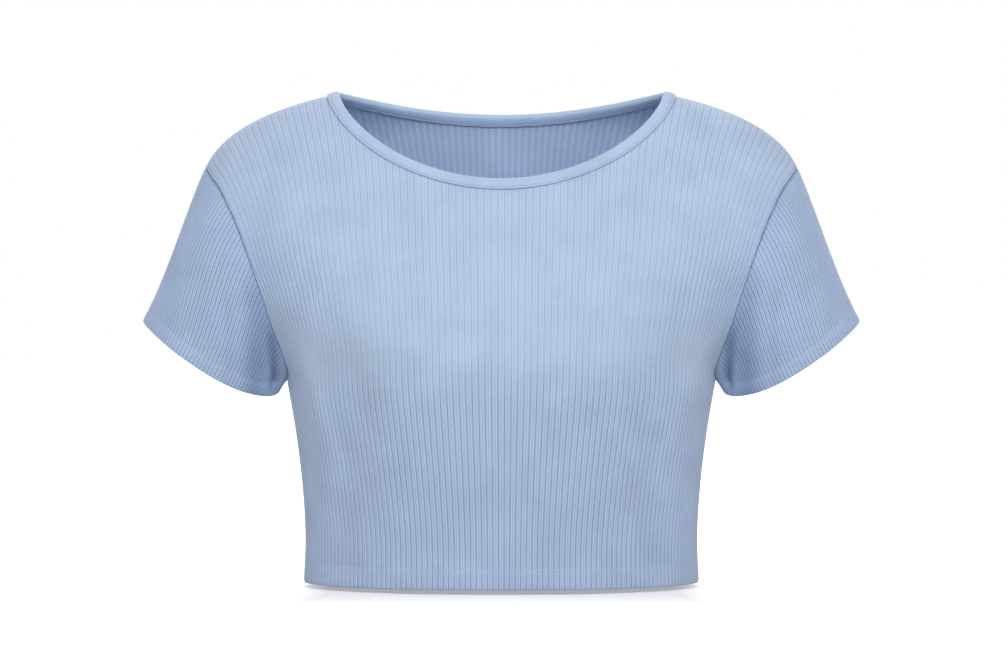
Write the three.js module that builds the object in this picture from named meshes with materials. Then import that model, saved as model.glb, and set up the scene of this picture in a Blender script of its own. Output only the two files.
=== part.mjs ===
import * as THREE from 'three';

// Light-blue ribbed crop top with short sleeves, filled out as if worn.
// Sizes are in millimetres, +Z is up and the front of the garment faces -Y.
// The origin lies midway between the high points of the two shoulders.

// Cloth
const WALL = 1.2;
const RIB_RAISE = 0.6;
const RIB_FADE = 10;
const SEAM_GAP = 0.3;
const ARMHOLE_GAP = 0.4;
const HEM_DEPTH = 16;
const CUFF_HEM_DEPTH = 10.5;
const HEM_STEP = 1.5;
const HEM_EXTRA = 0.8;
const HEM_UP = -373;
const UNDERARM_UP = -218;
const LOWER_HEIGHT = UNDERARM_UP - HEM_UP;

// Ribs counted from the centre line to an edge
const SIDE_RIBS = 50;
const ARMHOLE_RIBS = 44;
const NECK_RIBS = 22.5;
const SLEEVE_RIBS = 41;

// Necklines of the cut panels, inside the binding
const FRONT_NECK = { depth: -71, round: 0.68 };
const BACK_NECK = { depth: -16.7, round: 1.2 };

// Sleeve
const CUFF_CENTRE = new THREE.Vector3(220.85, 0, -202.5);
const CUFF_WIDE = new THREE.Vector3(0.88, 0, 0.476).normalize();
const CUFF_FORE = new THREE.Vector3(0, -1, 0);
const ARM_DOWN = new THREE.Vector3(0.476, 0, -0.88).normalize();
const CUFF_HALF_WIDTH = 57.8;
const CUFF_HALF_DEPTH = 46;
const CUFF_DROP = { side: 7.5, front: 3, lean: 2.5 };
const CAP_EASE = 0.25;
const SLEEVE_LEAN = { seam: -0.085, bulge: 0.35 };
const SLEEVE_DIP = { depth: 6, around: 0.78, aroundReach: 0.1, along: 0.42, alongReach: 0.32 };
const MITRE_LIMIT = 2.5;

// Colours taken as plain cloth colours
const BODY_COLOUR = '#b3c4de';
const SLEEVE_COLOUR = '#afc1dc';
const BINDING_COLOUR = '#b4c8e2';

/**
 * Turns rows of numbers into objects with named columns.
 * @param {string[]} columns
 * @param {number[][]} rows
 * @returns {Object[]}
 */
function table(columns, rows) {
  return rows.map((row) => Object.fromEntries(columns.map((name, i) => [name, row[i]])));
}

// A row is a line across the cloth from the centre to the side or the armhole.
// Columns: height and depth at the centre, x, depth and height at the edge,
// how far the edge has turned backwards and dropped in degrees, the length of
// the flat part at the centre, the reach of the bend at the edge, the ribs
// between centre and edge, and how much wider the ribs are at the centre.
const ROW_COLUMNS = ['centreUp', 'centreOut', 'edgeX', 'edgeOut', 'edgeUp', 'turn', 'drop',
  'flat', 'reach', 'ribs', 'ease'];
const FRONT_ROWS = table(ROW_COLUMNS, [
  [-373, 98, 149.3, 0, -373, 90, 0, 88, 56, 50, 0.03],
  [-340, 97, 148.2, 0, -340, 90, 0, 88, 56, 50, 0.03],
  [-300, 102, 150.4, 0, -300, 90, 0, 90, 58, 50, 0.05],
  [-260, 108, 155.2, 0, -260, 90, 0, 94, 61, 50, 0.07],
  [-218, 113, 162.3, 0, -218, 90, 0, 98, 64, 50, 0.09],
  [-214, 113, 160.6, 12, -215.3, 86, 2, 98, 58, 49, 0.09],
  [-206, 112.5, 161.4, 26, -208.7, 78, 4, 98, 52, 47.7, 0.09],
  [-194, 111, 164.9, 40, -196.3, 68, 6, 99, 48, 46.5, 0.09],
  [-184, 109, 168.1, 47, -187, 62, 8, 100, 46, 45.8, 0.09],
  [-170, 105, 172.7, 53, -174.1, 56, 10, 102, 46, 45, 0.08],
  [-152, 99, 178.1, 56, -156.4, 49, 13, 104, 46, 44, 0.08],
  [-130, 90.5, 186, 55, -134.4, 42, 19, 106, 46, 44, 0.07],
  [-113, 83, 191.3, 51, -120, 36, 25, 107, 46, 44, 0.06],
  [-89, 71.5, 197.5, 46.5, -104.2, 30, 35, 108, 47, 44, 0.05],
  [-60, 58.5, 205.4, 38.5, -87.3, 22, 46, 108, 48, 44, 0.04],
  [-28, 44.5, 213.6, 27, -73.1, 14, 57, 109, 49, 44, 0.03],
  [-8, 31.5, 218.7, 18.5, -66.4, 9, 62, 109, 50, 44, 0.02],
  [4.5, 16, 222.8, 9, -61, 4, 65.5, 110, 50, 44, 0.01],
  [8, 0, 224.4, 0, -58.9, 0, 67, 110, 50, 44, 0],
]);
const BACK_ROWS = table(ROW_COLUMNS, [
  [-373, 80, 149.3, 0, -373, 90, 0, 92, 46, 50, 0.02],
  [-340, 79, 148.2, 0, -340, 90, 0, 92, 45, 50, 0.02],
  [-300, 79, 150.4, 0, -300, 90, 0, 93, 45, 50, 0.02],
  [-260, 82, 155.2, 0, -260, 90, 0, 95, 47, 50, 0.02],
  [-218, 86, 162.3, 0, -218, 90, 0, 98, 50, 50, 0.02],
  [-214.5, 86.5, 160.6, 11, -215.2, 87, 2, 98, 46, 49.1, 0.02],
  [-207, 87, 160.7, 25, -207.6, 81, 4, 98, 42, 47.8, 0.02],
  [-195, 88, 163.4, 38, -194.5, 73, 6, 99, 40, 46.6, 0.02],
  [-184, 89, 166, 45.5, -183.6, 66, 8, 100, 40, 45.9, 0.02],
  [-171, 90, 169.2, 52, -170.5, 58, 10, 101, 41, 45.1, 0.02],
  [-152, 90, 174, 57, -152, 51, 13, 103, 42, 44, 0.02],
  [-126, 88, 179.9, 58, -134, 44, 18, 105, 44, 44, 0.02],
  [-98, 83, 186.6, 55.6, -117, 38, 25, 106, 45, 44, 0.02],
  [-70, 76, 194.3, 49.6, -102.4, 32, 33, 107, 46, 44, 0.02],
  [-42, 68.5, 202, 43, -90, 26, 41, 108, 47, 44, 0.02],
  [-18, 58, 209.6, 33.5, -78.6, 19, 50, 109, 48, 44, 0.02],
  [-2, 40.5, 216.2, 22.5, -69.4, 12, 58, 109, 49, 44, 0.01],
  [6, 19, 222, 11, -62, 6, 64, 110, 50, 44, 0],
]);

// Soft swells and folds: ends of the line along which each runs (x and
// height), its half width and how far it moves the cloth outwards.
const FOLD_COLUMNS = ['x0', 'up0', 'x1', 'up1', 'reach', 'out'];
const FRONT_FOLDS = table(FOLD_COLUMNS, [
  [83, -160, 80, -182, 44, 9],
  [-83, -160, -80, -182, 44, 9],
  [108, -232, 118, -352, 17, -5],
  [-104, -228, -120, -356, 16, -6],
  [146, -212, 124, -268, 10, 3],
  [-148, -212, -126, -272, 10, 3.5],
  [134, -262, 141, -352, 12, 2.5],
  [60, -250, 58, -372, 26, 2],
  [-58, -250, -62, -372, 26, 2],
  [-22, -240, 22, -238, 26, -2.5],
]);
const BACK_FOLDS = table(FOLD_COLUMNS, [
  [72, -96, 78, -128, 40, 4],
  [-72, -96, -78, -128, 40, 4],
  [0, -60, 0, -330, 20, -4],
  [112, -236, 120, -352, 18, -5],
  [-110, -230, -122, -350, 18, -5.5],
  [58, -250, 62, -372, 24, 2],
  [-62, -252, -58, -372, 24, 2],
]);
const FOLD_EDGE = 0.82;

// Heights of the mesh lines. Zone 0 to 1 is hem to underarm, 1 to 2 is the
// scoop of the armhole, 2 to 3 runs on to the neckline or the shoulder.
const SCOOP_START = 1;
const SCOOP_END = 2;
const TOP = 3;
const LOWER_LEVELS = [0, 50, 103];
const SCOOP_LEVELS = [0, 0.5];
const UPPER_LEVELS = [0, 0.38, 0.67, 0.85, 0.945, 1];
const EDGE_SPLITS = 3;
const NECK_CORNER_COLUMNS = [22.2, 22.3, 22.38, 22.45];
const PLAIN_COLUMNS = [0, 4, 8, 12, 15, 17, 18, 19, 20, 20.5, 21, 21.5, 22,
  ...NECK_CORNER_COLUMNS, 22.5, 26, 30, 34, 38, 41, 44, 45, 46, 47, 48, 49, 50];
const SLEEVE_ROWS = [0, 0.24, 0.5, 0.76, 1];
const BINDING_COLUMNS = [0, 2, 4, 6, 8, 10, 12, 14, 16, 17, 18, 19, 19.5, 20, 20.5, 21, 21.5,
  22, ...NECK_CORNER_COLUMNS, 22.5];

// Cut of the folded binding: distance from the cut edge into the panel and
// height over the valleys between the ribs.
const BINDING_SECTION = table(['into', 'over'], [
  [7.7, 2.5],
  [-1.2, 1.9],
  [-1.8, -0.6],
  [-1.2, -3],
  [7.7, -3.4],
  [7.7, -2.4],
  [-0.6, -2.2],
  [-0.6, 1.05],
  [7.7, 1.65],
]);

const ROW_SAMPLES = 40;

/**
 * Smooth curve through values at uneven knots.
 * @param {number[]} knots
 * @param {number[]} values
 * @param {number} at
 * @returns {number}
 */
function smooth(knots, values, at) {
  const last = knots.length - 1;
  let i = 0;
  while (i < last - 1 && at > knots[i + 1]) {
    i += 1;
  }
  const rise = (k) => (values[k + 1] - values[k]) / (knots[k + 1] - knots[k]);
  const slope = (k) => {
    if (k === 0) {
      return rise(0);
    }
    if (k === last) {
      return rise(last - 1);
    }
    const before = knots[k] - knots[k - 1];
    const after = knots[k + 1] - knots[k];
    return (rise(k - 1) * after + rise(k) * before) / (before + after);
  };
  const span = knots[i + 1] - knots[i];
  const t = Math.min(Math.max((at - knots[i]) / span, 0), 1);
  const t2 = t * t;
  const t3 = t2 * t;
  return (2 * t3 - 3 * t2 + 1) * values[i] + (t3 - 2 * t2 + t) * span * slope(i)
    + (3 * t2 - 2 * t3) * values[i + 1] + (t3 - t2) * span * slope(i + 1);
}

/**
 * Finds where a rising function crosses zero.
 * @param {function(number): number} f
 * @param {number} low
 * @param {number} high
 * @returns {number}
 */
function crossing(f, low, high) {
  let a = low;
  let b = high;
  for (let i = 0; i < 40; i += 1) {
    const middle = (a + b) / 2;
    if (f(middle) > 0) {
      b = middle;
    } else {
      a = middle;
    }
  }
  return (a + b) / 2;
}

/**
 * Lays the front and back rows out as one sheet over the shoulders.
 * @returns {{knots: number[], rows: Object[], front: number, ridge: number, back: number}}
 */
function layOutSheet() {
  const front = FRONT_ROWS.map((row) => ({
    ...row, centreY: -row.centreOut, edgeY: -row.edgeOut,
  }));
  const back = BACK_ROWS.map((row) => ({
    ...row, centreY: row.centreOut, edgeY: row.edgeOut, turn: -row.turn,
  })).reverse();
  const rows = [...front, ...back];
  const knots = [0];
  for (let i = 1; i < rows.length; i += 1) {
    const a = rows[i - 1];
    const b = rows[i];
    const centre = Math.hypot(b.centreY - a.centreY, b.centreUp - a.centreUp);
    const edge = Math.hypot(b.edgeX - a.edgeX, b.edgeY - a.edgeY, b.edgeUp - a.edgeUp);
    const level = a.ribs === SIDE_RIBS && b.ribs === SIDE_RIBS;
    knots.push(knots[i - 1] + (level ? Math.abs(b.edgeUp - a.edgeUp) : (centre + edge) / 2));
  }
  const under = FRONT_ROWS.findIndex((row) => row.edgeUp === UNDERARM_UP);
  return {
    knots,
    rows,
    front: under,
    ridge: front.length - 1,
    back: rows.length - 1 - BACK_ROWS.findIndex((row) => row.edgeUp === UNDERARM_UP),
  };
}

const SHEET = layOutSheet();
const FRONT_UNDER = SHEET.knots[SHEET.front];
const RIDGE = SHEET.knots[SHEET.ridge];
const BACK_UNDER = SHEET.knots[SHEET.back];
const SHEET_END = SHEET.knots[SHEET.knots.length - 1];

/**
 * Value of a table column at a place along the sheet.
 * @param {string} name
 * @param {number} along
 * @returns {number}
 */
function across(name, along) {
  return smooth(SHEET.knots, SHEET.rows.map((row) => row[name]), along);
}

/**
 * The same for a column that belongs to the edge, which bends at the underarm.
 * @param {string} name
 * @param {number} along
 * @returns {number}
 */
function edgeValue(name, along) {
  let first = SHEET.front;
  let last = SHEET.back;
  if (along <= FRONT_UNDER) {
    first = 0;
    last = SHEET.front;
  } else if (along >= BACK_UNDER) {
    first = SHEET.back;
    last = SHEET.rows.length - 1;
  }
  const rows = SHEET.rows.slice(first, last + 1);
  return smooth(SHEET.knots.slice(first, last + 1), rows.map((row) => row[name]), along);
}

const lineStore = new Map();

/**
 * Works out one line across the cloth from centre to edge, with its length.
 * @param {number} along
 * @returns {Object}
 */
function clothLine(along) {
  const key = along.toFixed(5);
  if (lineStore.has(key)) {
    return lineStore.get(key);
  }
  const turn = THREE.MathUtils.degToRad(edgeValue('turn', along));
  const drop = THREE.MathUtils.degToRad(edgeValue('drop', along));
  const outward = new THREE.Vector3(
    Math.cos(drop) * Math.cos(turn), Math.cos(drop) * Math.sin(turn), -Math.sin(drop));
  const start = new THREE.Vector3(0, across('centreY', along), across('centreUp', along));
  const flat = start.clone().add(new THREE.Vector3(across('flat', along), 0, 0));
  const end = new THREE.Vector3(
    edgeValue('edgeX', along), edgeValue('edgeY', along), edgeValue('edgeUp', along));
  const bend = end.clone().addScaledVector(outward, -across('reach', along));
  const curve = new THREE.CubicBezierCurve3(start, flat, bend, end);
  const points = curve.getPoints(ROW_SAMPLES);
  const lengths = [0];
  for (let i = 1; i < points.length; i += 1) {
    lengths.push(lengths[i - 1] + points[i].distanceTo(points[i - 1]));
  }
  const line = {
    curve, lengths, ribs: edgeValue('ribs', along), ease: across('ease', along),
  };
  lineStore.set(key, line);
  return line;
}

/**
 * How far the folds of a panel move the cloth outwards at a place.
 * @param {Object[]} folds
 * @param {number} x
 * @param {number} up
 * @returns {number}
 */
function foldOut(folds, x, up) {
  let out = 0;
  for (const fold of folds) {
    const dx = fold.x1 - fold.x0;
    const dz = fold.up1 - fold.up0;
    const t = ((x - fold.x0) * dx + (up - fold.up0) * dz) / (dx * dx + dz * dz);
    const near = Math.min(Math.max(t, 0), 1);
    const away = Math.hypot(x - fold.x0 - near * dx, up - fold.up0 - near * dz) / fold.reach;
    out += fold.out * Math.exp(-away * away);
  }
  return out;
}

/**
 * Point of the plain cloth, without ribs.
 * @param {number} rib ribs from the centre line, positive towards +X
 * @param {number} along place along the sheet from front hem to back hem
 * @returns {THREE.Vector3}
 */
function clothPoint(rib, along) {
  const line = clothLine(along);
  const t = Math.min(Math.abs(rib) / line.ribs, 1);
  const share = t * (1 + line.ease * (1 - t * t));
  const length = share * line.lengths[ROW_SAMPLES];
  let i = 1;
  while (i < ROW_SAMPLES && line.lengths[i] < length) {
    i += 1;
  }
  const part = (length - line.lengths[i - 1]) / (line.lengths[i] - line.lengths[i - 1]);
  const point = line.curve.getPoint(Math.min((i - 1 + part) / ROW_SAMPLES, 1));
  point.x *= Math.sign(rib);
  const folds = along < RIDGE ? FRONT_FOLDS : BACK_FOLDS;
  const outwards = along < RIDGE ? -1 : 1;
  const hold = 1 - THREE.MathUtils.smoothstep(t, FOLD_EDGE, 1);
  point.y += outwards * hold * foldOut(folds, point.x, point.z);
  return point;
}

/**
 * Outward normal of the plain cloth.
 * @param {number} rib
 * @param {number} along
 * @returns {THREE.Vector3}
 */
function clothNormal(rib, along) {
  const reach = clothLine(along).ribs;
  const ribLow = Math.max(rib - 0.4, -reach);
  const ribHigh = Math.min(rib + 0.4, reach);
  const alongLow = Math.max(along - 2, 0);
  const alongHigh = Math.min(along + 2, SHEET_END);
  const over = clothPoint(ribHigh, along).sub(clothPoint(ribLow, along));
  const up = clothPoint(rib, alongHigh).sub(clothPoint(rib, alongLow));
  return over.cross(up).normalize();
}

const RIDGE_CORNER = clothPoint(NECK_RIBS, RIDGE);

/**
 * Description of the front or back panel.
 * @param {boolean} isBack
 * @returns {Object}
 */
function describePanel(isBack) {
  const neck = isBack ? BACK_NECK : FRONT_NECK;
  const under = isBack ? BACK_UNDER : FRONT_UNDER;
  const towards = isBack ? -1 : 1;
  const hem = isBack ? SHEET_END : 0;
  const neckUp = (x) => {
    const t = Math.min(Math.abs(x) / RIDGE_CORNER.x, 1);
    return RIDGE_CORNER.z + (neck.depth - RIDGE_CORNER.z) * (1 - t * t) ** neck.round;
  };
  let scoopRow = under;
  while (clothLine(scoopRow).ribs > ARMHOLE_RIBS + 1e-6) {
    scoopRow += towards * 0.25;
  }
  return { isBack, under, towards, hem, neckUp, scoopRow };
}

/**
 * Place along the sheet where a rib line meets the neckline, shoulder or scoop.
 * @param {Object} panel
 * @param {number} rib
 * @returns {number}
 */
function ribEnd(panel, rib) {
  const size = Math.abs(rib);
  if (size > ARMHOLE_RIBS) {
    const left = (place) => size - clothLine(panel.under + panel.towards * place).ribs;
    const depth = Math.abs(panel.scoopRow - panel.under);
    return panel.under + panel.towards * crossing(left, 0, depth);
  }
  if (size >= NECK_RIBS) {
    return RIDGE - (panel.towards * SEAM_GAP) / 2;
  }
  const above = (place) => {
    const point = clothPoint(rib, panel.under + panel.towards * place);
    return point.z - panel.neckUp(point.x);
  };
  return panel.under + panel.towards * crossing(above, 0, Math.abs(RIDGE - panel.under));
}

/**
 * Place along the sheet of a rib line at a mesh height between 0 and 3.
 * @param {Object} panel
 * @param {number} rib
 * @param {number} height
 * @returns {number}
 */
function placeAt(panel, rib, height) {
  if (height <= SCOOP_START) {
    return panel.hem + (panel.under - panel.hem) * height;
  }
  if (Math.abs(rib) > ARMHOLE_RIBS) {
    return panel.under + (ribEnd(panel, rib) - panel.under) * (height - SCOOP_START);
  }
  if (height <= SCOOP_END) {
    return panel.under + (panel.scoopRow - panel.under) * (height - SCOOP_START);
  }
  return panel.scoopRow + (ribEnd(panel, rib) - panel.scoopRow) * (height - SCOOP_END);
}

/**
 * Point on the flat facets between the mesh heights of the upper zone.
 * @param {Object} panel
 * @param {number} rib
 * @param {number} height
 * @returns {THREE.Vector3}
 */
function facetPoint(panel, rib, height) {
  const t = Math.min(Math.max(height - SCOOP_END, 0), 1);
  let i = 1;
  while (i < UPPER_LEVELS.length - 1 && UPPER_LEVELS[i] < t) {
    i += 1;
  }
  const low = UPPER_LEVELS[i - 1];
  const high = UPPER_LEVELS[i];
  const a = clothPoint(rib, placeAt(panel, rib, SCOOP_END + low));
  const b = clothPoint(rib, placeAt(panel, rib, SCOOP_END + high));
  return a.lerp(b, (t - low) / (high - low));
}

/**
 * Share of the armhole length that the sleeve ribs have used up.
 * @param {number} t
 * @returns {number}
 */
function capShare(t) {
  return t - (CAP_EASE * Math.sin(2 * Math.PI * t)) / (2 * Math.PI);
}

/**
 * Direction out of the arm at an angle round the cuff.
 * @param {number} angle
 * @returns {THREE.Vector3}
 */
function armRadial(angle) {
  return CUFF_WIDE.clone().multiplyScalar(Math.cos(angle))
    .addScaledVector(CUFF_FORE, Math.sin(angle));
}

/**
 * Direction in which the sleeve leaves the armhole seam.
 * @param {number} t share of the sleeve ribs, negative at the back
 * @returns {THREE.Vector3}
 */
function sleeveStart(t) {
  const lean = SLEEVE_LEAN.seam + SLEEVE_LEAN.bulge * Math.sin(Math.PI * t) ** 2;
  return ARM_DOWN.clone().addScaledVector(armRadial(Math.PI * t), lean).normalize();
}

/**
 * Point of the cuff edge.
 * @param {number} t share of the sleeve ribs, negative at the back
 * @returns {THREE.Vector3}
 */
function cuffPoint(t) {
  const angle = Math.PI * t;
  const sine = Math.abs(Math.sin(angle));
  const drop = CUFF_DROP.side * sine + CUFF_DROP.front * sine * sine
    - CUFF_DROP.lean * Math.sin(2 * Math.abs(angle));
  return CUFF_CENTRE.clone()
    .addScaledVector(CUFF_WIDE, CUFF_HALF_WIDTH * Math.cos(angle))
    .addScaledVector(CUFF_FORE, CUFF_HALF_DEPTH * Math.sin(angle))
    .addScaledVector(ARM_DOWN, drop);
}

/**
 * Corner points of one armhole half, from the shoulder tip to the underarm.
 * @param {Object} panel
 * @returns {Object[]}
 */
function armholeNodes(panel) {
  const marks = [];
  for (let i = UPPER_LEVELS.length - 1; i > 0; i -= 1) {
    for (let k = 0; k < EDGE_SPLITS; k += 1) {
      const t = UPPER_LEVELS[i] + ((UPPER_LEVELS[i - 1] - UPPER_LEVELS[i]) * k) / EDGE_SPLITS;
      marks.push({ rib: ARMHOLE_RIBS, height: SCOOP_END + t });
    }
  }
  for (let rib = ARMHOLE_RIBS; rib <= SIDE_RIBS; rib += 1) {
    marks.push({ rib, height: SCOOP_END });
  }
  let length = 0;
  marks.forEach((mark, i) => {
    const isTip = i === 0;
    const isUnder = i === marks.length - 1;
    mark.along = isTip ? RIDGE : placeAt(panel, mark.rib, mark.height);
    mark.point = isUnder ? clothPoint(SIDE_RIBS, panel.under) : clothPoint(mark.rib, mark.along);
    mark.normal = clothNormal(mark.rib, mark.along);
    length += i > 0 ? mark.point.distanceTo(marks[i - 1].point) : 0;
    mark.length = length;
  });
  const side = panel.isBack ? -1 : 1;
  marks.forEach((mark, i) => {
    mark.share = mark.length / length;
    const before = marks[Math.max(i - 1, 0)].point.clone();
    const after = marks[Math.min(i + 1, marks.length - 1)].point.clone();
    if (i === 0) {
      before.copy(after).setY(-after.y);
    }
    if (i === marks.length - 1) {
      after.copy(before).setY(-before.y);
    }
    const tangent = after.sub(before).normalize();
    const t = side * crossing((value) => capShare(value) - mark.share, 0, 1);
    const start = sleeveStart(t);
    const away = start.addScaledVector(tangent, -start.dot(tangent)).normalize();
    const sleeveNormal = tangent.clone().cross(away).multiplyScalar(side).normalize();
    const facing = sleeveNormal.dot(armRadial(Math.PI * t)) < 0 ? -1 : 1;
    sleeveNormal.multiplyScalar(facing);
    mark.out = mark.normal.clone().add(sleeveNormal).normalize();
    mark.out.addScaledVector(tangent, -mark.out.dot(tangent)).normalize();
    mark.over = mark.out.clone().cross(tangent).normalize();
    if (mark.over.dot(away) < 0) {
      mark.over.negate();
    }
    mark.mitre = Math.min(1 / Math.max(mark.out.dot(mark.normal), 0.1), MITRE_LIMIT);
  });
  return marks;
}

const PANELS = { front: describePanel(false), back: describePanel(true) };
for (const panel of Object.values(PANELS)) {
  panel.nodes = armholeNodes(panel);
}

/**
 * Armhole seam data at a share of its length.
 * @param {Object} panel
 * @param {number} share
 * @returns {{point: THREE.Vector3, out: THREE.Vector3, over: THREE.Vector3, mitre: number}}
 */
function armholeAt(panel, share) {
  const nodes = panel.nodes;
  let i = 1;
  while (i < nodes.length - 1 && nodes[i].share < share) {
    i += 1;
  }
  const a = nodes[i - 1];
  const b = nodes[i];
  const t = Math.min(Math.max((share - a.share) / (b.share - a.share), 0), 1);
  return {
    point: a.point.clone().lerp(b.point, t),
    out: a.out.clone().lerp(b.out, t).normalize(),
    over: a.over.clone().lerp(b.over, t).normalize(),
    mitre: a.mitre + (b.mitre - a.mitre) * t,
  };
}

/**
 * Armhole seam data where a rib line of a panel ends.
 * @param {Object} panel
 * @param {number} rib
 * @param {number} height
 * @returns {Object}
 */
function armholeOf(panel, rib, height) {
  const nodes = panel.nodes;
  if (rib > ARMHOLE_RIBS) {
    const scoop = nodes.filter((node) => node.height === SCOOP_END);
    const low = scoop.find((node) => node.rib === Math.floor(rib));
    const high = scoop.find((node) => node.rib === Math.ceil(rib));
    return armholeAt(panel, (low.share + high.share) / 2);
  }
  const node = nodes.find((mark) => mark.rib === rib && Math.abs(mark.height - height) < 1e-9);
  return armholeAt(panel, node.share);
}

/** Collects the corners and faces of one closed body. */
class Body {
  constructor() {
    this.positions = [];
    this.faces = [];
  }

  /**
   * @param {THREE.Vector3} point
   * @returns {number}
   */
  add(point) {
    this.positions.push(point.x, point.y, point.z);
    return this.positions.length / 3 - 1;
  }

  /**
   * Joins two lines of corners whose marks both rise.
   * @param {{ids: number[], marks: number[]}} a
   * @param {{ids: number[], marks: number[]}} b
   * @param {boolean} flip
   */
  zip(a, b, flip) {
    const corner = (id) => new THREE.Vector3().fromArray(this.positions, id * 3);
    const middle = (line, n) => (
      n < line.ids.length - 1 ? (line.marks[n] + line.marks[n + 1]) / 2 : Infinity);
    let i = 0;
    let k = 0;
    while (i < a.ids.length - 1 || k < b.ids.length - 1) {
      const lead = middle(a, i) - middle(b, k);
      let useA = lead < 0;
      if (Math.abs(lead) < 1e-9) {
        const crossA = corner(a.ids[i + 1]).distanceTo(corner(b.ids[k]));
        const crossB = corner(a.ids[i]).distanceTo(corner(b.ids[k + 1]));
        useA = crossA <= crossB;
      }
      const corners = [a.ids[i], b.ids[k], useA ? a.ids[i + 1] : b.ids[k + 1]];
      if (useA) {
        i += 1;
      } else {
        k += 1;
      }
      this.faces.push(flip ? [corners[0], corners[2], corners[1]] : corners);
    }
  }

  /**
   * @param {string} name
   * @param {string} colour
   * @param {number} roughness
   * @returns {THREE.Mesh}
   */
  toMesh(name, colour, roughness) {
    const corner = (id) => new THREE.Vector3().fromArray(this.positions, id * 3);
    const flat = [];
    for (const face of this.faces) {
      const [a, b, c] = face.map(corner);
      const longest = Math.max(a.distanceTo(b), b.distanceTo(c), c.distanceTo(a));
      const area = b.clone().sub(a).cross(c.clone().sub(a)).length();
      if (area / longest > 1e-6) {
        flat.push(...face);
      }
    }
    const geometry = new THREE.BufferGeometry();
    geometry.setAttribute('position', new THREE.Float32BufferAttribute(this.positions, 3));
    geometry.setIndex(flat);
    geometry.computeVertexNormals();
    const material = new THREE.MeshStandardMaterial({ color: colour, roughness, metalness: 0 });
    const mesh = new THREE.Mesh(geometry, material);
    mesh.name = name;
    return mesh;
  }
}

/**
 * Reverses a line of corners and turns the marks round so that they still rise.
 * @param {{ids: number[], marks: number[]}} line
 * @returns {{ids: number[], marks: number[]}}
 */
function reversed(line) {
  return { ids: [...line.ids].reverse(), marks: line.marks.map((mark) => -mark).reverse() };
}

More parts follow.
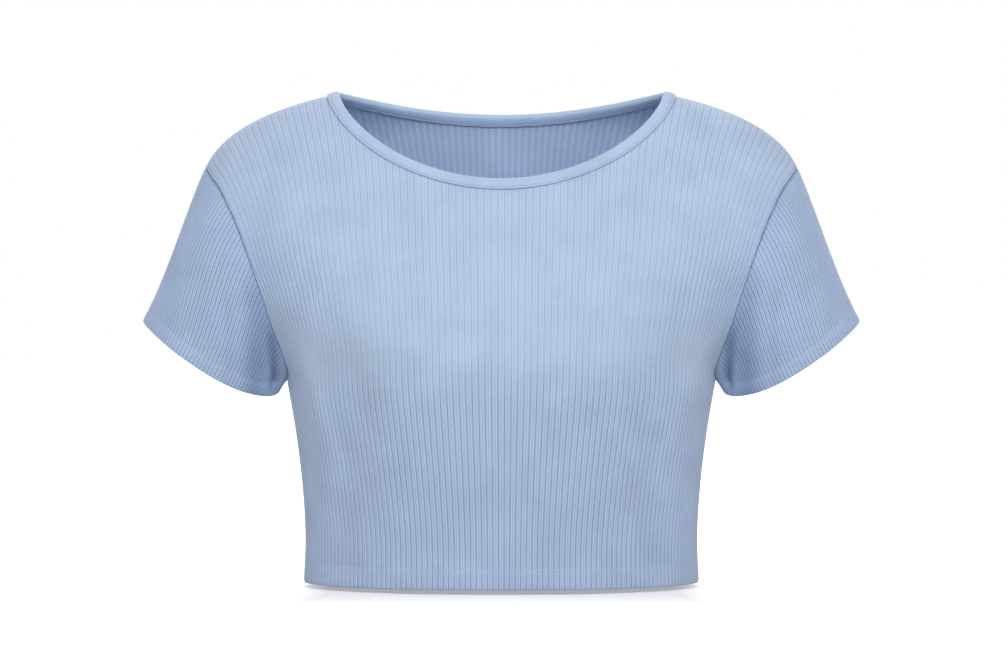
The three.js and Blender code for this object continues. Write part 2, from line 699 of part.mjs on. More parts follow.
/**
 * Builds the front or the back: ribbed outside, plain inside, turned-up hem.
 * @param {Object} panel
 * @param {string} name
 * @returns {THREE.Mesh}
 */
function buildPanel(panel, name) {
  const body = new Body();
  const half = SEAM_GAP / 2;
  const mirror = (vector, side) => new THREE.Vector3(vector.x * side, vector.y, vector.z);

  const corner = (rib, height, wall) => {
    const side = rib < 0 ? -1 : 1;
    const size = Math.abs(rib);
    const onScoop = size >= ARMHOLE_RIBS && Math.abs(height - SCOOP_END) < 1e-9;
    const onArmhole = onScoop || (size === ARMHOLE_RIBS && height > SCOOP_END);
    const along = placeAt(panel, size, height);
    const point = clothPoint(rib, along);
    const normal = clothNormal(rib, along);
    let inwards = wall;
    if (onArmhole) {
      const seam = armholeOf(panel, size, height);
      point.copy(mirror(seam.point, side))
        .addScaledVector(mirror(seam.over, side), -ARMHOLE_GAP / 2);
      normal.copy(mirror(seam.out, side));
      inwards *= seam.mitre;
    }
    if (size === SIDE_RIBS || (size === ARMHOLE_RIBS && height === TOP)) {
      point.y += panel.isBack ? half : -half;
    }
    const ridge = 1 - 2 * Math.abs(size - Math.round(size));
    if (wall === 0 && ridge > 0 && size < SIDE_RIBS) {
      const own = mirror(point, side);
      const reach = Math.min(...panel.nodes.map((node) => node.point.distanceTo(own)));
      const neck = height === TOP && size < NECK_RIBS ? 0 : 1;
      const fade = neck * Math.min(reach / RIB_FADE, 1);
      return point.addScaledVector(normal, RIB_RAISE * ridge * fade);
    }
    return point.addScaledVector(normal, -inwards);
  };

  const column = (rib, isPlain) => {
    const size = Math.abs(rib);
    const steps = LOWER_LEVELS.map((level) => ({ mark: level / LOWER_HEIGHT, wall: WALL }));
    if (isPlain) {
      steps[0].wall = WALL + HEM_EXTRA;
      steps.splice(1, 0, { mark: HEM_DEPTH / LOWER_HEIGHT, wall: WALL + HEM_EXTRA });
      steps.splice(2, 0, { mark: (HEM_DEPTH + HEM_STEP) / LOWER_HEIGHT, wall: WALL });
    }
    SCOOP_LEVELS.forEach((level) => steps.push({ mark: SCOOP_START + level, wall: WALL }));
    steps.push({ mark: SCOOP_END, wall: WALL });
    if (size === ARMHOLE_RIBS) {
      const edge = panel.nodes.filter((node) => node.height > SCOOP_END + 1e-9).reverse();
      edge.forEach((node) => steps.push({ mark: node.height, wall: WALL }));
    } else if (size < ARMHOLE_RIBS) {
      UPPER_LEVELS.slice(1).forEach((level) => steps.push({ mark: SCOOP_END + level, wall: WALL }));
    }
    const isUnder = size === SIDE_RIBS;
    const kept = isUnder ? steps.filter((step) => step.mark < SCOOP_START - 1e-9) : steps;
    if (isUnder) {
      kept.push({ mark: SCOOP_END, wall: WALL });
    }
    const ids = kept.map((step) => body.add(corner(rib, step.mark, isPlain ? step.wall : 0)));
    return { rib, ids, marks: kept.map((step) => step.mark) };
  };

  const cut = (line) => {
    const end = line.marks.findIndex((mark) => Math.abs(mark - SCOOP_END) < 1e-9) + 1;
    return { rib: line.rib, ids: line.ids.slice(0, end), marks: line.marks.slice(0, end) };
  };

  const skin = (ribs, isPlain) => {
    const lines = ribs.map((rib) => column(rib, isPlain));
    const flip = panel.isBack !== isPlain;
    for (let i = 1; i < lines.length; i += 1) {
      const outside = Math.max(Math.abs(lines[i].rib), Math.abs(lines[i - 1].rib));
      const short = outside > ARMHOLE_RIBS;
      const a = short ? cut(lines[i - 1]) : lines[i - 1];
      const b = short ? cut(lines[i]) : lines[i];
      body.zip(a, b, flip);
    }
    return lines;
  };

  const rim = (lines) => {
    const pick = (from, to, end) => {
      const part = lines.filter((line) => line.rib >= from && line.rib <= to);
      const ids = part.map((line) => (end === 'low' ? line.ids[0] : cut(line).ids.at(-1)));
      const tops = part.map((line) => line.ids.at(-1));
      return { ids: end === 'top' ? tops : ids, marks: part.map((line) => line.rib) };
    };
    const edge = (rib) => {
      const line = lines.find((item) => item.rib === rib);
      const start = Math.abs(rib) === ARMHOLE_RIBS ? cut(line).ids.length - 1 : 0;
      return { ids: line.ids.slice(start), marks: line.marks.slice(start) };
    };
    return [
      pick(-SIDE_RIBS, SIDE_RIBS, 'low'),
      edge(SIDE_RIBS),
      reversed(pick(ARMHOLE_RIBS, SIDE_RIBS, 'scoop')),
      edge(ARMHOLE_RIBS),
      reversed(pick(-ARMHOLE_RIBS, ARMHOLE_RIBS, 'top')),
      reversed(edge(-ARMHOLE_RIBS)),
      reversed(pick(-SIDE_RIBS, -ARMHOLE_RIBS, 'scoop')),
      reversed(edge(-SIDE_RIBS)),
    ];
  };

  const ribbed = [...NECK_CORNER_COLUMNS.map((rib) => -rib), ...NECK_CORNER_COLUMNS];
  for (let i = -2 * SIDE_RIBS; i <= 2 * SIDE_RIBS; i += 1) {
    ribbed.push(i / 2);
  }
  ribbed.sort((a, b) => a - b);
  const plain = [...PLAIN_COLUMNS.slice(1).map((rib) => -rib).reverse(), ...PLAIN_COLUMNS];
  const outer = rim(skin(ribbed, false));
  const inner = rim(skin(plain, true));
  outer.forEach((line, i) => body.zip(line, inner[i], panel.isBack));
  return body.toMesh(name, BODY_COLOUR, 0.88);
}

/**
 * Point of the plain sleeve on the +X side.
 * @param {number} t share of the ribs from the top, positive at the front
 * @param {number} q share of the way from the armhole to the cuff
 * @param {number} [share] share of the armhole length, if already known
 * @returns {THREE.Vector3}
 */
function sleevePoint(t, q, share) {
  let turn = t;
  if (turn > 1) {
    turn -= 2;
  }
  if (turn < -1) {
    turn += 2;
  }
  const size = Math.abs(turn);
  const panel = turn < 0 ? PANELS.back : PANELS.front;
  const start = armholeAt(panel, share === undefined ? capShare(size) : share).point;
  const end = cuffPoint(turn);
  const length = start.distanceTo(end);
  const q2 = q * q;
  const q3 = q2 * q;
  const point = start.clone().multiplyScalar(2 * q3 - 3 * q2 + 1)
    .addScaledVector(sleeveStart(turn), length * (q3 - 2 * q2 + q))
    .addScaledVector(end, 3 * q2 - 2 * q3)
    .addScaledVector(ARM_DOWN, length * (q3 - q2));
  const round = (size - SLEEVE_DIP.around) / SLEEVE_DIP.aroundReach;
  const down = (q - SLEEVE_DIP.along) / SLEEVE_DIP.alongReach;
  const dip = SLEEVE_DIP.depth * Math.exp(-round * round - down * down) * 4 * q * (1 - q);
  return point.addScaledVector(armRadial(Math.PI * turn), -dip);
}

/**
 * Outward normal of the plain sleeve.
 * @param {number} t
 * @param {number} q
 * @returns {THREE.Vector3}
 */
function sleeveNormal(t, q) {
  const step = 0.02;
  const round = sleevePoint(t + step, q).sub(sleevePoint(t - step, q));
  const low = Math.max(q - 0.04, 0);
  const high = Math.min(q + 0.04, 1);
  const down = sleevePoint(t, high).sub(sleevePoint(t, low));
  const normal = down.cross(round).normalize();
  return normal.dot(armRadial(Math.PI * t)) < 0 ? normal.negate() : normal;
}

/**
 * Builds one sleeve: ribbed outside, plain inside, turned-up cuff.
 * @param {number} side +1 for the +X side, -1 for the other
 * @param {string} name
 * @returns {THREE.Mesh}
 */
function buildSleeve(side, name) {
  const body = new Body();
  const columns = [];
  for (let i = -2 * SLEEVE_RIBS; i < 2 * SLEEVE_RIBS; i += 1) {
    const t = i / 2 / SLEEVE_RIBS;
    columns.push({ t, isPeak: i % 2 === 0, share: capShare(Math.abs(t)), isNode: false });
  }
  for (const panel of Object.values(PANELS)) {
    for (const node of panel.nodes) {
      const own = columns.filter((column) => (
        column.t === 0 || column.t === -1 || (column.t < 0) === panel.isBack));
      own.sort((a, b) => Math.abs(a.share - node.share) - Math.abs(b.share - node.share));
      own[0].share = node.share;
      own[0].isNode = true;
    }
  }

  const corner = (column, q, wall) => {
    const point = sleevePoint(column.t, q, column.share);
    const normal = sleeveNormal(column.t, q);
    let inwards = wall;
    if (q === 0) {
      const seam = armholeAt(column.t < 0 ? PANELS.back : PANELS.front, column.share);
      point.copy(seam.point).addScaledVector(seam.over, ARMHOLE_GAP / 2);
      normal.copy(seam.out);
      inwards *= seam.mitre;
    }
    if (wall === 0 && column.isPeak) {
      const start = armholeAt(column.t < 0 ? PANELS.back : PANELS.front, column.share).point;
      const fade = Math.min(start.distanceTo(point) / RIB_FADE, 1);
      point.addScaledVector(normal, q === 0 ? 0 : RIB_RAISE * fade);
    }
    point.addScaledVector(normal, -inwards);
    return new THREE.Vector3(point.x * side, point.y, point.z);
  };

  const ring = (picked, q, wall) => {
    const ids = picked.map((column) => body.add(corner(column, q, wall)));
    const marks = picked.map((column) => column.t);
    return { ids: [...ids, ids[0]], marks: [...marks, marks[0] + 2] };
  };

  const plainColumns = columns.filter((column) => column.isNode);
  const hemStart = (column) => {
    const start = armholeAt(column.t < 0 ? PANELS.back : PANELS.front, column.share).point;
    return 1 - Math.min(CUFF_HEM_DEPTH / start.distanceTo(cuffPoint(column.t)), 0.6);
  };
  const bent = (offset) => {
    const ids = plainColumns.map((column) => body.add(
      corner(column, hemStart(column) + offset.q, offset.wall)));
    const marks = plainColumns.map((column) => column.t);
    return { ids: [...ids, ids[0]], marks: [...marks, marks[0] + 2] };
  };

  const flip = side > 0;
  const outer = SLEEVE_ROWS.map((q) => ring(columns, q, 0));
  const inner = [ring(plainColumns, 0, WALL)];
  const between = (share) => {
    const ids = plainColumns.map((column) => body.add(
      corner(column, hemStart(column) * share, WALL)));
    const marks = plainColumns.map((column) => column.t);
    return { ids: [...ids, ids[0]], marks: [...marks, marks[0] + 2] };
  };
  inner.push(between(0.28), between(0.56), between(0.8));
  inner.push(bent({ q: -0.02, wall: WALL }));
  inner.push(bent({ q: 0, wall: WALL + HEM_EXTRA }));
  inner.push(ring(plainColumns, 1, WALL + HEM_EXTRA));
  for (let i = 1; i < outer.length; i += 1) {
    body.zip(outer[i - 1], outer[i], flip);
  }
  for (let i = 1; i < inner.length; i += 1) {
    body.zip(inner[i], inner[i - 1], flip);
  }
  body.zip(inner[0], outer[0], flip);
  body.zip(outer.at(-1), inner.at(-1), flip);
  return body.toMesh(name, SLEEVE_COLOUR, 0.88);
}

/**
 * Finds the rib and height of the point of a panel that is nearest to a target.
 * @param {Object} panel
 * @param {THREE.Vector3} target
 * @param {number} rib
 * @param {number} height
 * @returns {THREE.Vector3}
 */
function settle(panel, target, rib, height) {
  let r = rib;
  let h = height;
  for (let i = 0; i < 12; i += 1) {
    const here = facetPoint(panel, r, h);
    const over = facetPoint(panel, r + 0.05, h).sub(here).multiplyScalar(20);
    const up = here.clone().sub(facetPoint(panel, r, h - 0.01)).multiplyScalar(100);
    const gap = target.clone().sub(here);
    const a = over.dot(over);
    const b = over.dot(up);
    const c = up.dot(up);
    const det = a * c - b * b;
    r += (gap.dot(over) * c - gap.dot(up) * b) / det;
    h = Math.min(h + (gap.dot(up) * a - gap.dot(over) * b) / det, TOP);
  }
  return facetPoint(panel, r, h);
}

/**
 * Builds the binding that is folded over the neck edge all the way round.
 * @returns {THREE.Mesh}
 */
function buildBinding() {
  const body = new Body();
  const reach = BINDING_SECTION[0].into;
  const stations = [];
  for (const panel of [PANELS.front, PANELS.back]) {
    const ribs = [...BINDING_COLUMNS.slice(1).map((rib) => -rib).reverse(), ...BINDING_COLUMNS];
    const ordered = panel.isBack ? ribs.reverse() : ribs;
    for (const rib of ordered.slice(0, -1)) {
      stations.push({ panel, rib, point: facetPoint(panel, rib, TOP) });
    }
  }
  const count = stations.length;
  const rings = stations.map((station, i) => {
    const { panel, rib, point } = station;
    const isCorner = Math.abs(rib) === NECK_RIBS;
    const before = stations[(i + count - 1) % count].point;
    const after = stations[(i + 1) % count].point;
    const tangent = after.clone().sub(before).normalize();
    const along = isCorner ? RIDGE : placeAt(panel, rib, TOP);
    if (isCorner) {
      point.copy(clothPoint(rib, RIDGE));
    }
    const normal = clothNormal(rib, along);
    const into = tangent.clone().cross(normal).normalize();
    const target = point.clone().addScaledVector(into, reach);
    const far = isCorner ? clothPoint(rib + Math.sign(rib) * 1.45, RIDGE)
      : settle(panel, target, rib, TOP - 0.05);
    const span = far.clone().sub(point);
    span.setLength(reach);
    const edge = span.clone().normalize();
    return BINDING_SECTION.map((cut) => body.add(point.clone()
      .addScaledVector(edge, cut.into).addScaledVector(normal, cut.over)));
  });
  rings.forEach((ring, i) => {
    const next = rings[(i + 1) % count];
    const marks = [...BINDING_SECTION.map((_, k) => k), BINDING_SECTION.length];
    body.zip({ ids: [...ring, ring[0]], marks }, { ids: [...next, next[0]], marks }, false);
  });
  return body.toMesh('neck_binding', BINDING_COLOUR, 0.8);
}

const garment = new THREE.Group();
garment.name = 'ribbed_crop_top';
garment.add(buildPanel(PANELS.front, 'front'));
garment.add(buildPanel(PANELS.back, 'back'));
garment.add(buildSleeve(1, 'sleeve_left'));
garment.add(buildSleeve(-1, 'sleeve_right'));
garment.add(buildBinding());

export default garment;
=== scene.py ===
"""Looks of the ribbed crop top: cloth shells, sewing, finishes, studio and camera."""
import logging
import math
from dataclasses import dataclass, field
from enum import Enum
from typing import Callable, Sequence

import bpy
import numpy as np
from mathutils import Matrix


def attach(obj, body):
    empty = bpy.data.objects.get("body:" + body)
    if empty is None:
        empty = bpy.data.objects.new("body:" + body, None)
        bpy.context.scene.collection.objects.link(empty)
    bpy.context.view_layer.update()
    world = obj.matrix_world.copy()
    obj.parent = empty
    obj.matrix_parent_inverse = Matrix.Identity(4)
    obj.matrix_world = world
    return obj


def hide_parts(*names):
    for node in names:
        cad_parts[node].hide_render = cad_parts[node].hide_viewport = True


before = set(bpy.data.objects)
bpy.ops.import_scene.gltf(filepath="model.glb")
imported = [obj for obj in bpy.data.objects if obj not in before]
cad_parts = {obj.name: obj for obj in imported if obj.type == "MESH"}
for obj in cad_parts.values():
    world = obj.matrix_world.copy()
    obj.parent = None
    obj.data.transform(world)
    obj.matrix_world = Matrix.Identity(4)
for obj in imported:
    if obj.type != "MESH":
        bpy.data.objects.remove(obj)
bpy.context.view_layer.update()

logging.basicConfig(level=logging.INFO, format="%(message)s")
LOG = logging.getLogger("crop_top")

MM = 0.001
ROOT = "root"
HEM_UP = -373.0
UNDERARM_UP = -218.0
SIDE_RIBS = 50.0
ARMHOLE_RIBS = 43.0
NECK_RIBS = 22.0
SLEEVE_RIBS = 59.0

# Distance that counts as far from every seam, and the usual width of a rib.
FAR = 99.0
RIB_PITCH = 4.3

# A row is a line across the cloth from the centre to the side or the armhole,
# in millimetres and degrees. The rows are those of the solids, drawn in a little
# more beside the underarms, with more ribs that end along the armhole.
ROW_COLUMNS = ("centre_up", "centre_out", "edge_x", "edge_out", "edge_up", "turn", "drop",
               "flat", "reach", "ribs", "ease")
FRONT_ROWS = np.array([
    [-373, 98, 149.3, 0, -373, 90, 0, 88, 56, 50, 0.03],
    [-340, 97, 148.2, 0, -340, 90, 0, 88, 56, 50, 0.04],
    [-300, 102, 150.4, 0, -300, 90, 0, 90, 58, 50, 0.06],
    [-260, 108, 155.2, 0, -260, 90, 0, 94, 61, 50, 0.08],
    [-218, 113, 162.3, 0, -218, 90, 0, 97, 64, 50, 0.1],
    [-214, 113, 160.6, 12, -215.3, 86, 2, 92, 58, 48.8, 0.12],
    [-206, 112.5, 161.4, 26, -208.7, 78, 4, 85, 52, 47.4, 0.16],
    [-194, 111, 164.9, 40, -196.3, 68, 6, 81, 48, 46.2, 0.18],
    [-184, 109, 168.1, 47, -187, 62, 8, 81, 46, 45.4, 0.18],
    [-170, 105, 172.7, 53, -174.1, 56, 10, 84, 46, 44.5, 0.165],
    [-152, 99, 178.1, 56, -156.4, 49, 13, 89, 46, 43.7, 0.145],
    [-130, 90.5, 186, 55, -134.4, 42, 19, 96, 46, 43, 0.12],
    [-113, 83, 191.3, 51, -120, 36, 25, 101, 46, 43, 0.11],
    [-89, 71.5, 197.5, 46.5, -104.2, 30, 35, 106, 47, 43, 0.09],
    [-60, 58.5, 205.4, 38.5, -87.3, 22, 46, 108, 48, 43, 0.06],
    [-28, 44.5, 213.6, 27, -73.1, 14, 57, 109, 49, 43, 0.03],
    [-8, 31.5, 218.7, 18.5, -66.4, 9, 62, 109, 50, 43, 0.015],
    [4.5, 16, 222.8, 9, -61, 4, 65.5, 110, 50, 43, 0.005],
    [8, 0, 224.4, 0, -58.9, 0, 67, 110, 50, 43, 0],
])
BACK_ROWS = np.array([
    [-373, 80, 149.3, 0, -373, 90, 0, 92, 46, 50, 0.02],
    [-340, 79, 148.2, 0, -340, 90, 0, 92, 45, 50, 0.02],
    [-300, 79, 150.4, 0, -300, 90, 0, 93, 45, 50, 0.02],
    [-260, 82, 155.2, 0, -260, 90, 0, 95, 47, 50, 0.02],
    [-218, 86, 162.3, 0, -218, 90, 0, 97, 50, 50, 0.02],
    [-214.5, 86.5, 160.6, 11, -215.2, 87, 2, 92, 46, 48.9, 0.03],
    [-207, 87, 160.7, 25, -207.6, 81, 4, 85, 42, 47.6, 0.05],
    [-195, 88, 163.4, 38, -194.5, 73, 6, 81, 40, 46.4, 0.06],
    [-184, 89, 166, 45.5, -183.6, 66, 8, 81, 40, 45.6, 0.06],
    [-171, 90, 169.2, 52, -170.5, 58, 10, 84, 41, 44.8, 0.05],
    [-152, 90, 174, 57, -152, 51, 13, 90, 42, 43.9, 0.04],
    [-126, 88, 179.9, 58, -134, 44, 18, 98, 44, 43, 0.03],
    [-98, 83, 186.6, 55.6, -117, 38, 25, 104, 45, 43, 0.03],
    [-70, 76, 194.3, 49.6, -102.4, 32, 33, 107, 46, 43, 0.03],
    [-42, 68.5, 202, 43, -90, 26, 41, 108, 47, 43, 0.02],
    [-18, 58, 209.6, 33.5, -78.6, 19, 50, 109, 48, 43, 0.02],
    [-2, 40.5, 216.2, 22.5, -69.4, 12, 58, 109, 49, 43, 0.01],
    [6, 19, 222, 11, -62, 6, 64, 110, 50, 43, 0],
])

# Soft swells and folds: the line along which each runs (x and height), its
# half width and how far it moves the cloth outwards, in millimetres.
FRONT_FOLDS = np.array([
    [83, -160, 80, -182, 44, 9],
    [-83, -160, -80, -182, 44, 9],
    [108, -232, 118, -352, 17, -5],
    [-104, -228, -120, -356, 16, -6],
    [146, -212, 124, -268, 10, 3],
    [-148, -212, -126, -272, 10, 3.5],
    [134, -262, 141, -352, 12, 2.5],
    [60, -250, 58, -372, 26, 2],
    [-58, -250, -62, -372, 26, 2],
    [-22, -240, 22, -238, 26, -2.5],
    [-96, -300, -88, -366, 7, -1.2],
    [92, -318, 88, -370, 6, -1.0],
    [-128, -236, -114, -286, 6, -1.6],
    [130, -232, 112, -284, 6, -1.4],
    [-45, -362, -46, -374, 3.5, -1.1],
    [28, -330, 30, -374, 8, -0.7],
])
BACK_FOLDS = np.array([
    [72, -96, 78, -128, 40, 4],
    [-72, -96, -78, -128, 40, 4],
    [0, -60, 0, -330, 20, -4],
    [112, -236, 120, -352, 18, -5],
    [-110, -230, -122, -350, 18, -5.5],
    [58, -250, 62, -372, 24, 2],
    [-62, -252, -58, -372, 24, 2],
    [138, -214, 108, -262, 8, 2.2],
    [-140, -212, -112, -266, 8, 2.4],
    [90, -312, 96, -370, 7, -1.2],
    [-88, -322, -94, -370, 7, -1.0],
    [-40, -276, 30, -284, 9, -1.2],
])
FOLD_EDGE = 0.82

# Folds of a sleeve, in millimetres round it from the top (positive at the
# front) and down it from the seam: line, half width, movement outwards.
SLEEVE_FOLDS = np.array([
    [124, 5, 142, 15, 7.5, -8.0],
    [108, 10, 132, 48, 17, -6.0],
    [52, 8, 60, 112, 26, 4.5],
    [84, 46, 112, 84, 8, -1.8],
    [-125, 4, -151, 17, 9, -6.0],
    [-108, 10, -134, 48, 19, -5.0],
    [-52, 10, -60, 110, 26, 3.5],
    [-82, 50, -108, 86, 8, -1.6],
    [40, 60, 62, 112, 14, 1.4],
    [-34, 58, -58, 110, 14, 1.4],
])


class Skin(Enum):
    """Side of the cloth."""

    OUTER = "outer"
    INNER = "inner"


@dataclass(frozen=True)
class Neck:
    """Neckline of one cut panel in the front view."""

    depth: float
    round: float


@dataclass(frozen=True)
class Cloth:
    """Thickness and relief of the rib knit, in millimetres."""

    wall: float = 1.1
    rib: float = 0.62
    inner_ridge: float = 0.5
    hem_extra: float = 0.9
    per_rib: int = 6


CLOTH = Cloth()


def ramp(value: np.ndarray, low: float, high: float) -> np.ndarray:
    """Smooth step from 0 to 1.

    Args:
        value: Numbers to map.
        low: Value at which the step starts.
        high: Value at which it ends.

    Returns:
        The stepped numbers.
    """
    t = np.clip((value - low) / (high - low), 0.0, 1.0)
    return t * t * (3.0 - 2.0 * t)


def unit(vectors: np.ndarray) -> np.ndarray:
    """Vectors scaled to length one.

    Args:
        vectors: Array whose last axis is x, y, z.

    Returns:
        Array of the same shape.
    """
    size = np.linalg.norm(vectors, axis=-1, keepdims=True)
    return vectors / np.maximum(size, 1e-12)


def smooth(knots: np.ndarray, values: np.ndarray, at: np.ndarray) -> np.ndarray:
    """Smooth curve through values at uneven knots.

    Args:
        knots: Rising places of the values.
        values: One value a knot.
        at: Places to read.

    Returns:
        Values of the curve at those places.
    """
    step = np.diff(knots)
    rise = np.diff(values) / step
    slope = np.empty_like(values, dtype=float)
    slope[0], slope[-1] = rise[0], rise[-1]
    slope[1:-1] = (rise[:-1] * step[1:] + rise[1:] * step[:-1]) / (step[:-1] + step[1:])
    i = np.clip(np.searchsorted(knots, at, side="right") - 1, 0, len(knots) - 2)
    t = np.clip((at - knots[i]) / step[i], 0.0, 1.0)
    t2, t3 = t * t, t * t * t
    return ((2 * t3 - 3 * t2 + 1) * values[i] + (t3 - 2 * t2 + t) * step[i] * slope[i]
            + (3 * t2 - 2 * t3) * values[i + 1] + (t3 - t2) * step[i] * slope[i + 1])


def fold_out(folds: np.ndarray, x: np.ndarray, up: np.ndarray) -> np.ndarray:
    """How far a table of folds moves the cloth outwards.

    Args:
        folds: Rows of line ends, half width and movement.
        x: First coordinate of each place.
        up: Second coordinate of each place.

    Returns:
        Movement outwards at each place.
    """
    out = np.zeros_like(x, dtype=float)
    for x0, up0, x1, up1, reach, move in folds:
        dx, dz = x1 - x0, up1 - up0
        t = np.clip(((x - x0) * dx + (up - up0) * dz) / (dx * dx + dz * dz), 0.0, 1.0)
        away = ((x - x0 - t * dx) ** 2 + (up - up0 - t * dz) ** 2) / reach ** 2
        out += move * np.exp(-away)
    return out


def bisect(test: Callable[[np.ndarray], np.ndarray], low: np.ndarray,
           high: np.ndarray) -> np.ndarray:
    """Finds where rising functions cross zero.

    Args:
        test: Function of an array of places.
        low: Lower ends.
        high: Upper ends.

    Returns:
        Places of the crossings.
    """
    a, b = low.astype(float), high.astype(float)
    for _ in range(30):
        middle = (a + b) / 2
        above = test(middle) > 0
        b = np.where(above, middle, b)
        a = np.where(above, a, middle)
    return (a + b) / 2


class ClothSheet:
    """The body cloth as one sheet, from the front hem over the shoulders to the back hem."""

    SAMPLES = 32
    EVEN_FROM = (-75.0, -32.0)
    EVEN_TO = (34.0, 78.0)
    EVEN_SHARE = 0.8
    SMOOTH_STEPS = np.arange(-4, 5) * 7.0
    SMOOTH_WEIGHTS = np.cos(np.arange(-4, 5) * np.pi / 10) ** 2

    def __init__(self) -> None:
        front = FRONT_ROWS.copy()
        back = BACK_ROWS[::-1].copy()
        front[:, 1] *= -1
        front[:, 3] *= -1
        back[:, 5] *= -1
        self.rows = np.vstack([front, back])
        knots = [0.0]
        for a, b in zip(self.rows[:-1], self.rows[1:]):
            centre = np.hypot(b[1] - a[1], b[0] - a[0])
            edge = np.linalg.norm(b[2:5] - a[2:5])
            level = a[9] == SIDE_RIBS and b[9] == SIDE_RIBS
            knots.append(knots[-1] + (abs(b[4] - a[4]) if level else (centre + edge) / 2))
        self.knots = np.array(knots)
        self.i_front = int(np.argmax(FRONT_ROWS[:, 4] == UNDERARM_UP))
        self.i_back = len(self.rows) - 1 - int(np.argmax(BACK_ROWS[:, 4] == UNDERARM_UP))
        self.front_under = self.knots[self.i_front]
        self.back_under = self.knots[self.i_back]
        self.ridge = self.knots[len(front) - 1]
        self.end = self.knots[-1]

    def across(self, name: str, along: np.ndarray) -> np.ndarray:
        """Value of a table column that runs on without a bend.

        Args:
            name: Column of the row table.
            along: Places along the sheet.

        Returns:
            The values.
        """
        return smooth(self.knots, self.rows[:, ROW_COLUMNS.index(name)], along)

    def edge(self, name: str, along: np.ndarray) -> np.ndarray:
        """Value of a table column of the edge, which bends at the underarm.

        Args:
            name: Column of the row table.
            along: Places along the sheet.

        Returns:
            The values.
        """
        column = self.rows[:, ROW_COLUMNS.index(name)]
        cuts = ((0, self.i_front), (self.i_front, self.i_back), (self.i_back, len(column) - 1))
        parts = [smooth(self.knots[a:b + 1], column[a:b + 1], along) for a, b in cuts]
        return np.where(along <= self.front_under, parts[0],
                        np.where(along >= self.back_under, parts[2], parts[1]))

    def points(self, rib: np.ndarray, along: np.ndarray) -> np.ndarray:
        """Points of the plain cloth, evened out along the ribs beside the underarms.

        Args:
            rib: Ribs from the centre line, positive towards +X.
            along: Places along the sheet.

        Returns:
            Points in millimetres.
        """
        rib, along = np.broadcast_arrays(np.asarray(rib, float), np.asarray(along, float))
        over = np.minimum(along - self.front_under, self.back_under - along)
        share = np.clip(np.abs(rib) / self.edge("ribs", along.ravel()).reshape(along.shape), 0, 1)
        even = ramp(over, *self.EVEN_FROM) * (1 - ramp(over, *self.EVEN_TO))
        even = even * (1 - ramp(share, self.EVEN_SHARE, 1))
        out = self.laid(rib, along)
        near = even > 1e-3
        if not near.any():
            return out
        r, a, reach = rib[near], along[near], even[near]
        total = np.zeros((len(r), 3))
        for step, weight in zip(self.SMOOTH_STEPS, self.SMOOTH_WEIGHTS):
            total += weight * self.laid(r, a + step * reach)
        out[near] = total / self.SMOOTH_WEIGHTS.sum()
        return out

    def laid(self, rib: np.ndarray, along: np.ndarray) -> np.ndarray:
        """Points of the cloth as the row table lays it.

        Args:
            rib: Ribs from the centre line, positive towards +X.
            along: Places along the sheet.

        Returns:
            Points in millimetres.
        """
        rib, along = np.broadcast_arrays(np.asarray(rib, float), np.asarray(along, float))
        shape = rib.shape
        rib, along = rib.ravel(), along.ravel()
        turn = np.radians(self.edge("turn", along))
        drop = np.radians(self.edge("drop", along))
        outward = np.stack([np.cos(drop) * np.cos(turn), np.cos(drop) * np.sin(turn),
                            -np.sin(drop)], axis=-1)
        p0 = np.stack([np.zeros_like(along), self.across("centre_out", along),
                       self.across("centre_up", along)], axis=-1)
        p1 = p0.copy()
        p1[:, 0] = self.across("flat", along)
        p3 = np.stack([self.edge(n, along) for n in ("edge_x", "edge_out", "edge_up")], axis=-1)
        p2 = p3 - outward * self.across("reach", along)[:, None]
        t = np.linspace(0, 1, self.SAMPLES + 1)
        basis = np.stack([(1 - t) ** 3, 3 * t * (1 - t) ** 2, 3 * t * t * (1 - t), t ** 3])
        curve = np.einsum("kt,knc->ntc", basis, np.stack([p0, p1, p2, p3]))
        length = np.concatenate([np.zeros((len(rib), 1)), np.cumsum(
            np.linalg.norm(np.diff(curve, axis=1), axis=2), axis=1)], axis=1)
        share = np.clip(np.abs(rib) / self.edge("ribs", along), 0, 1)
        ease = self.across("ease", along)
        target = share * (1 + ease * (1 - share ** 2)) * length[:, -1]
        i = np.clip((length < target[:, None]).sum(axis=1) - 1, 0, self.SAMPLES - 1)
        row = np.arange(len(rib))
        part = (target - length[row, i]) / (length[row, i + 1] - length[row, i])
        s = np.clip((i + part) / self.SAMPLES, 0, 1)[:, None]
        point = ((1 - s) ** 3 * p0 + 3 * s * (1 - s) ** 2 * p1 + 3 * s * s * (1 - s) * p2
                 + s ** 3 * p3)
        point[:, 0] *= np.sign(rib)
        hold = 1 - ramp(share, FOLD_EDGE, 1.0)
        front = fold_out(FRONT_FOLDS, point[:, 0], point[:, 2])
        back = fold_out(BACK_FOLDS, point[:, 0], point[:, 2])
        point[:, 1] += hold * np.where(along < self.ridge, -front, back)
        return point.reshape(shape + (3,))

    def normals(self, rib: np.ndarray, along: np.ndarray) -> np.ndarray:
        """Outward normals of the plain cloth.

        Args:
            rib: Ribs from the centre line.
            along: Places along the sheet.

        Returns:
            Unit vectors.
        """
        rib, along = np.broadcast_arrays(np.asarray(rib, float), np.asarray(along, float))
        reach = self.edge("ribs", along.ravel()).reshape(along.shape)
        over = (self.points(np.minimum(rib + 0.4, reach), along)
                - self.points(np.maximum(rib - 0.4, -reach), along))
        up = (self.points(rib, np.minimum(along + 2, self.end))
              - self.points(rib, np.maximum(along - 2, 0)))
        return unit(np.cross(over, up))


SHEET = ClothSheet()


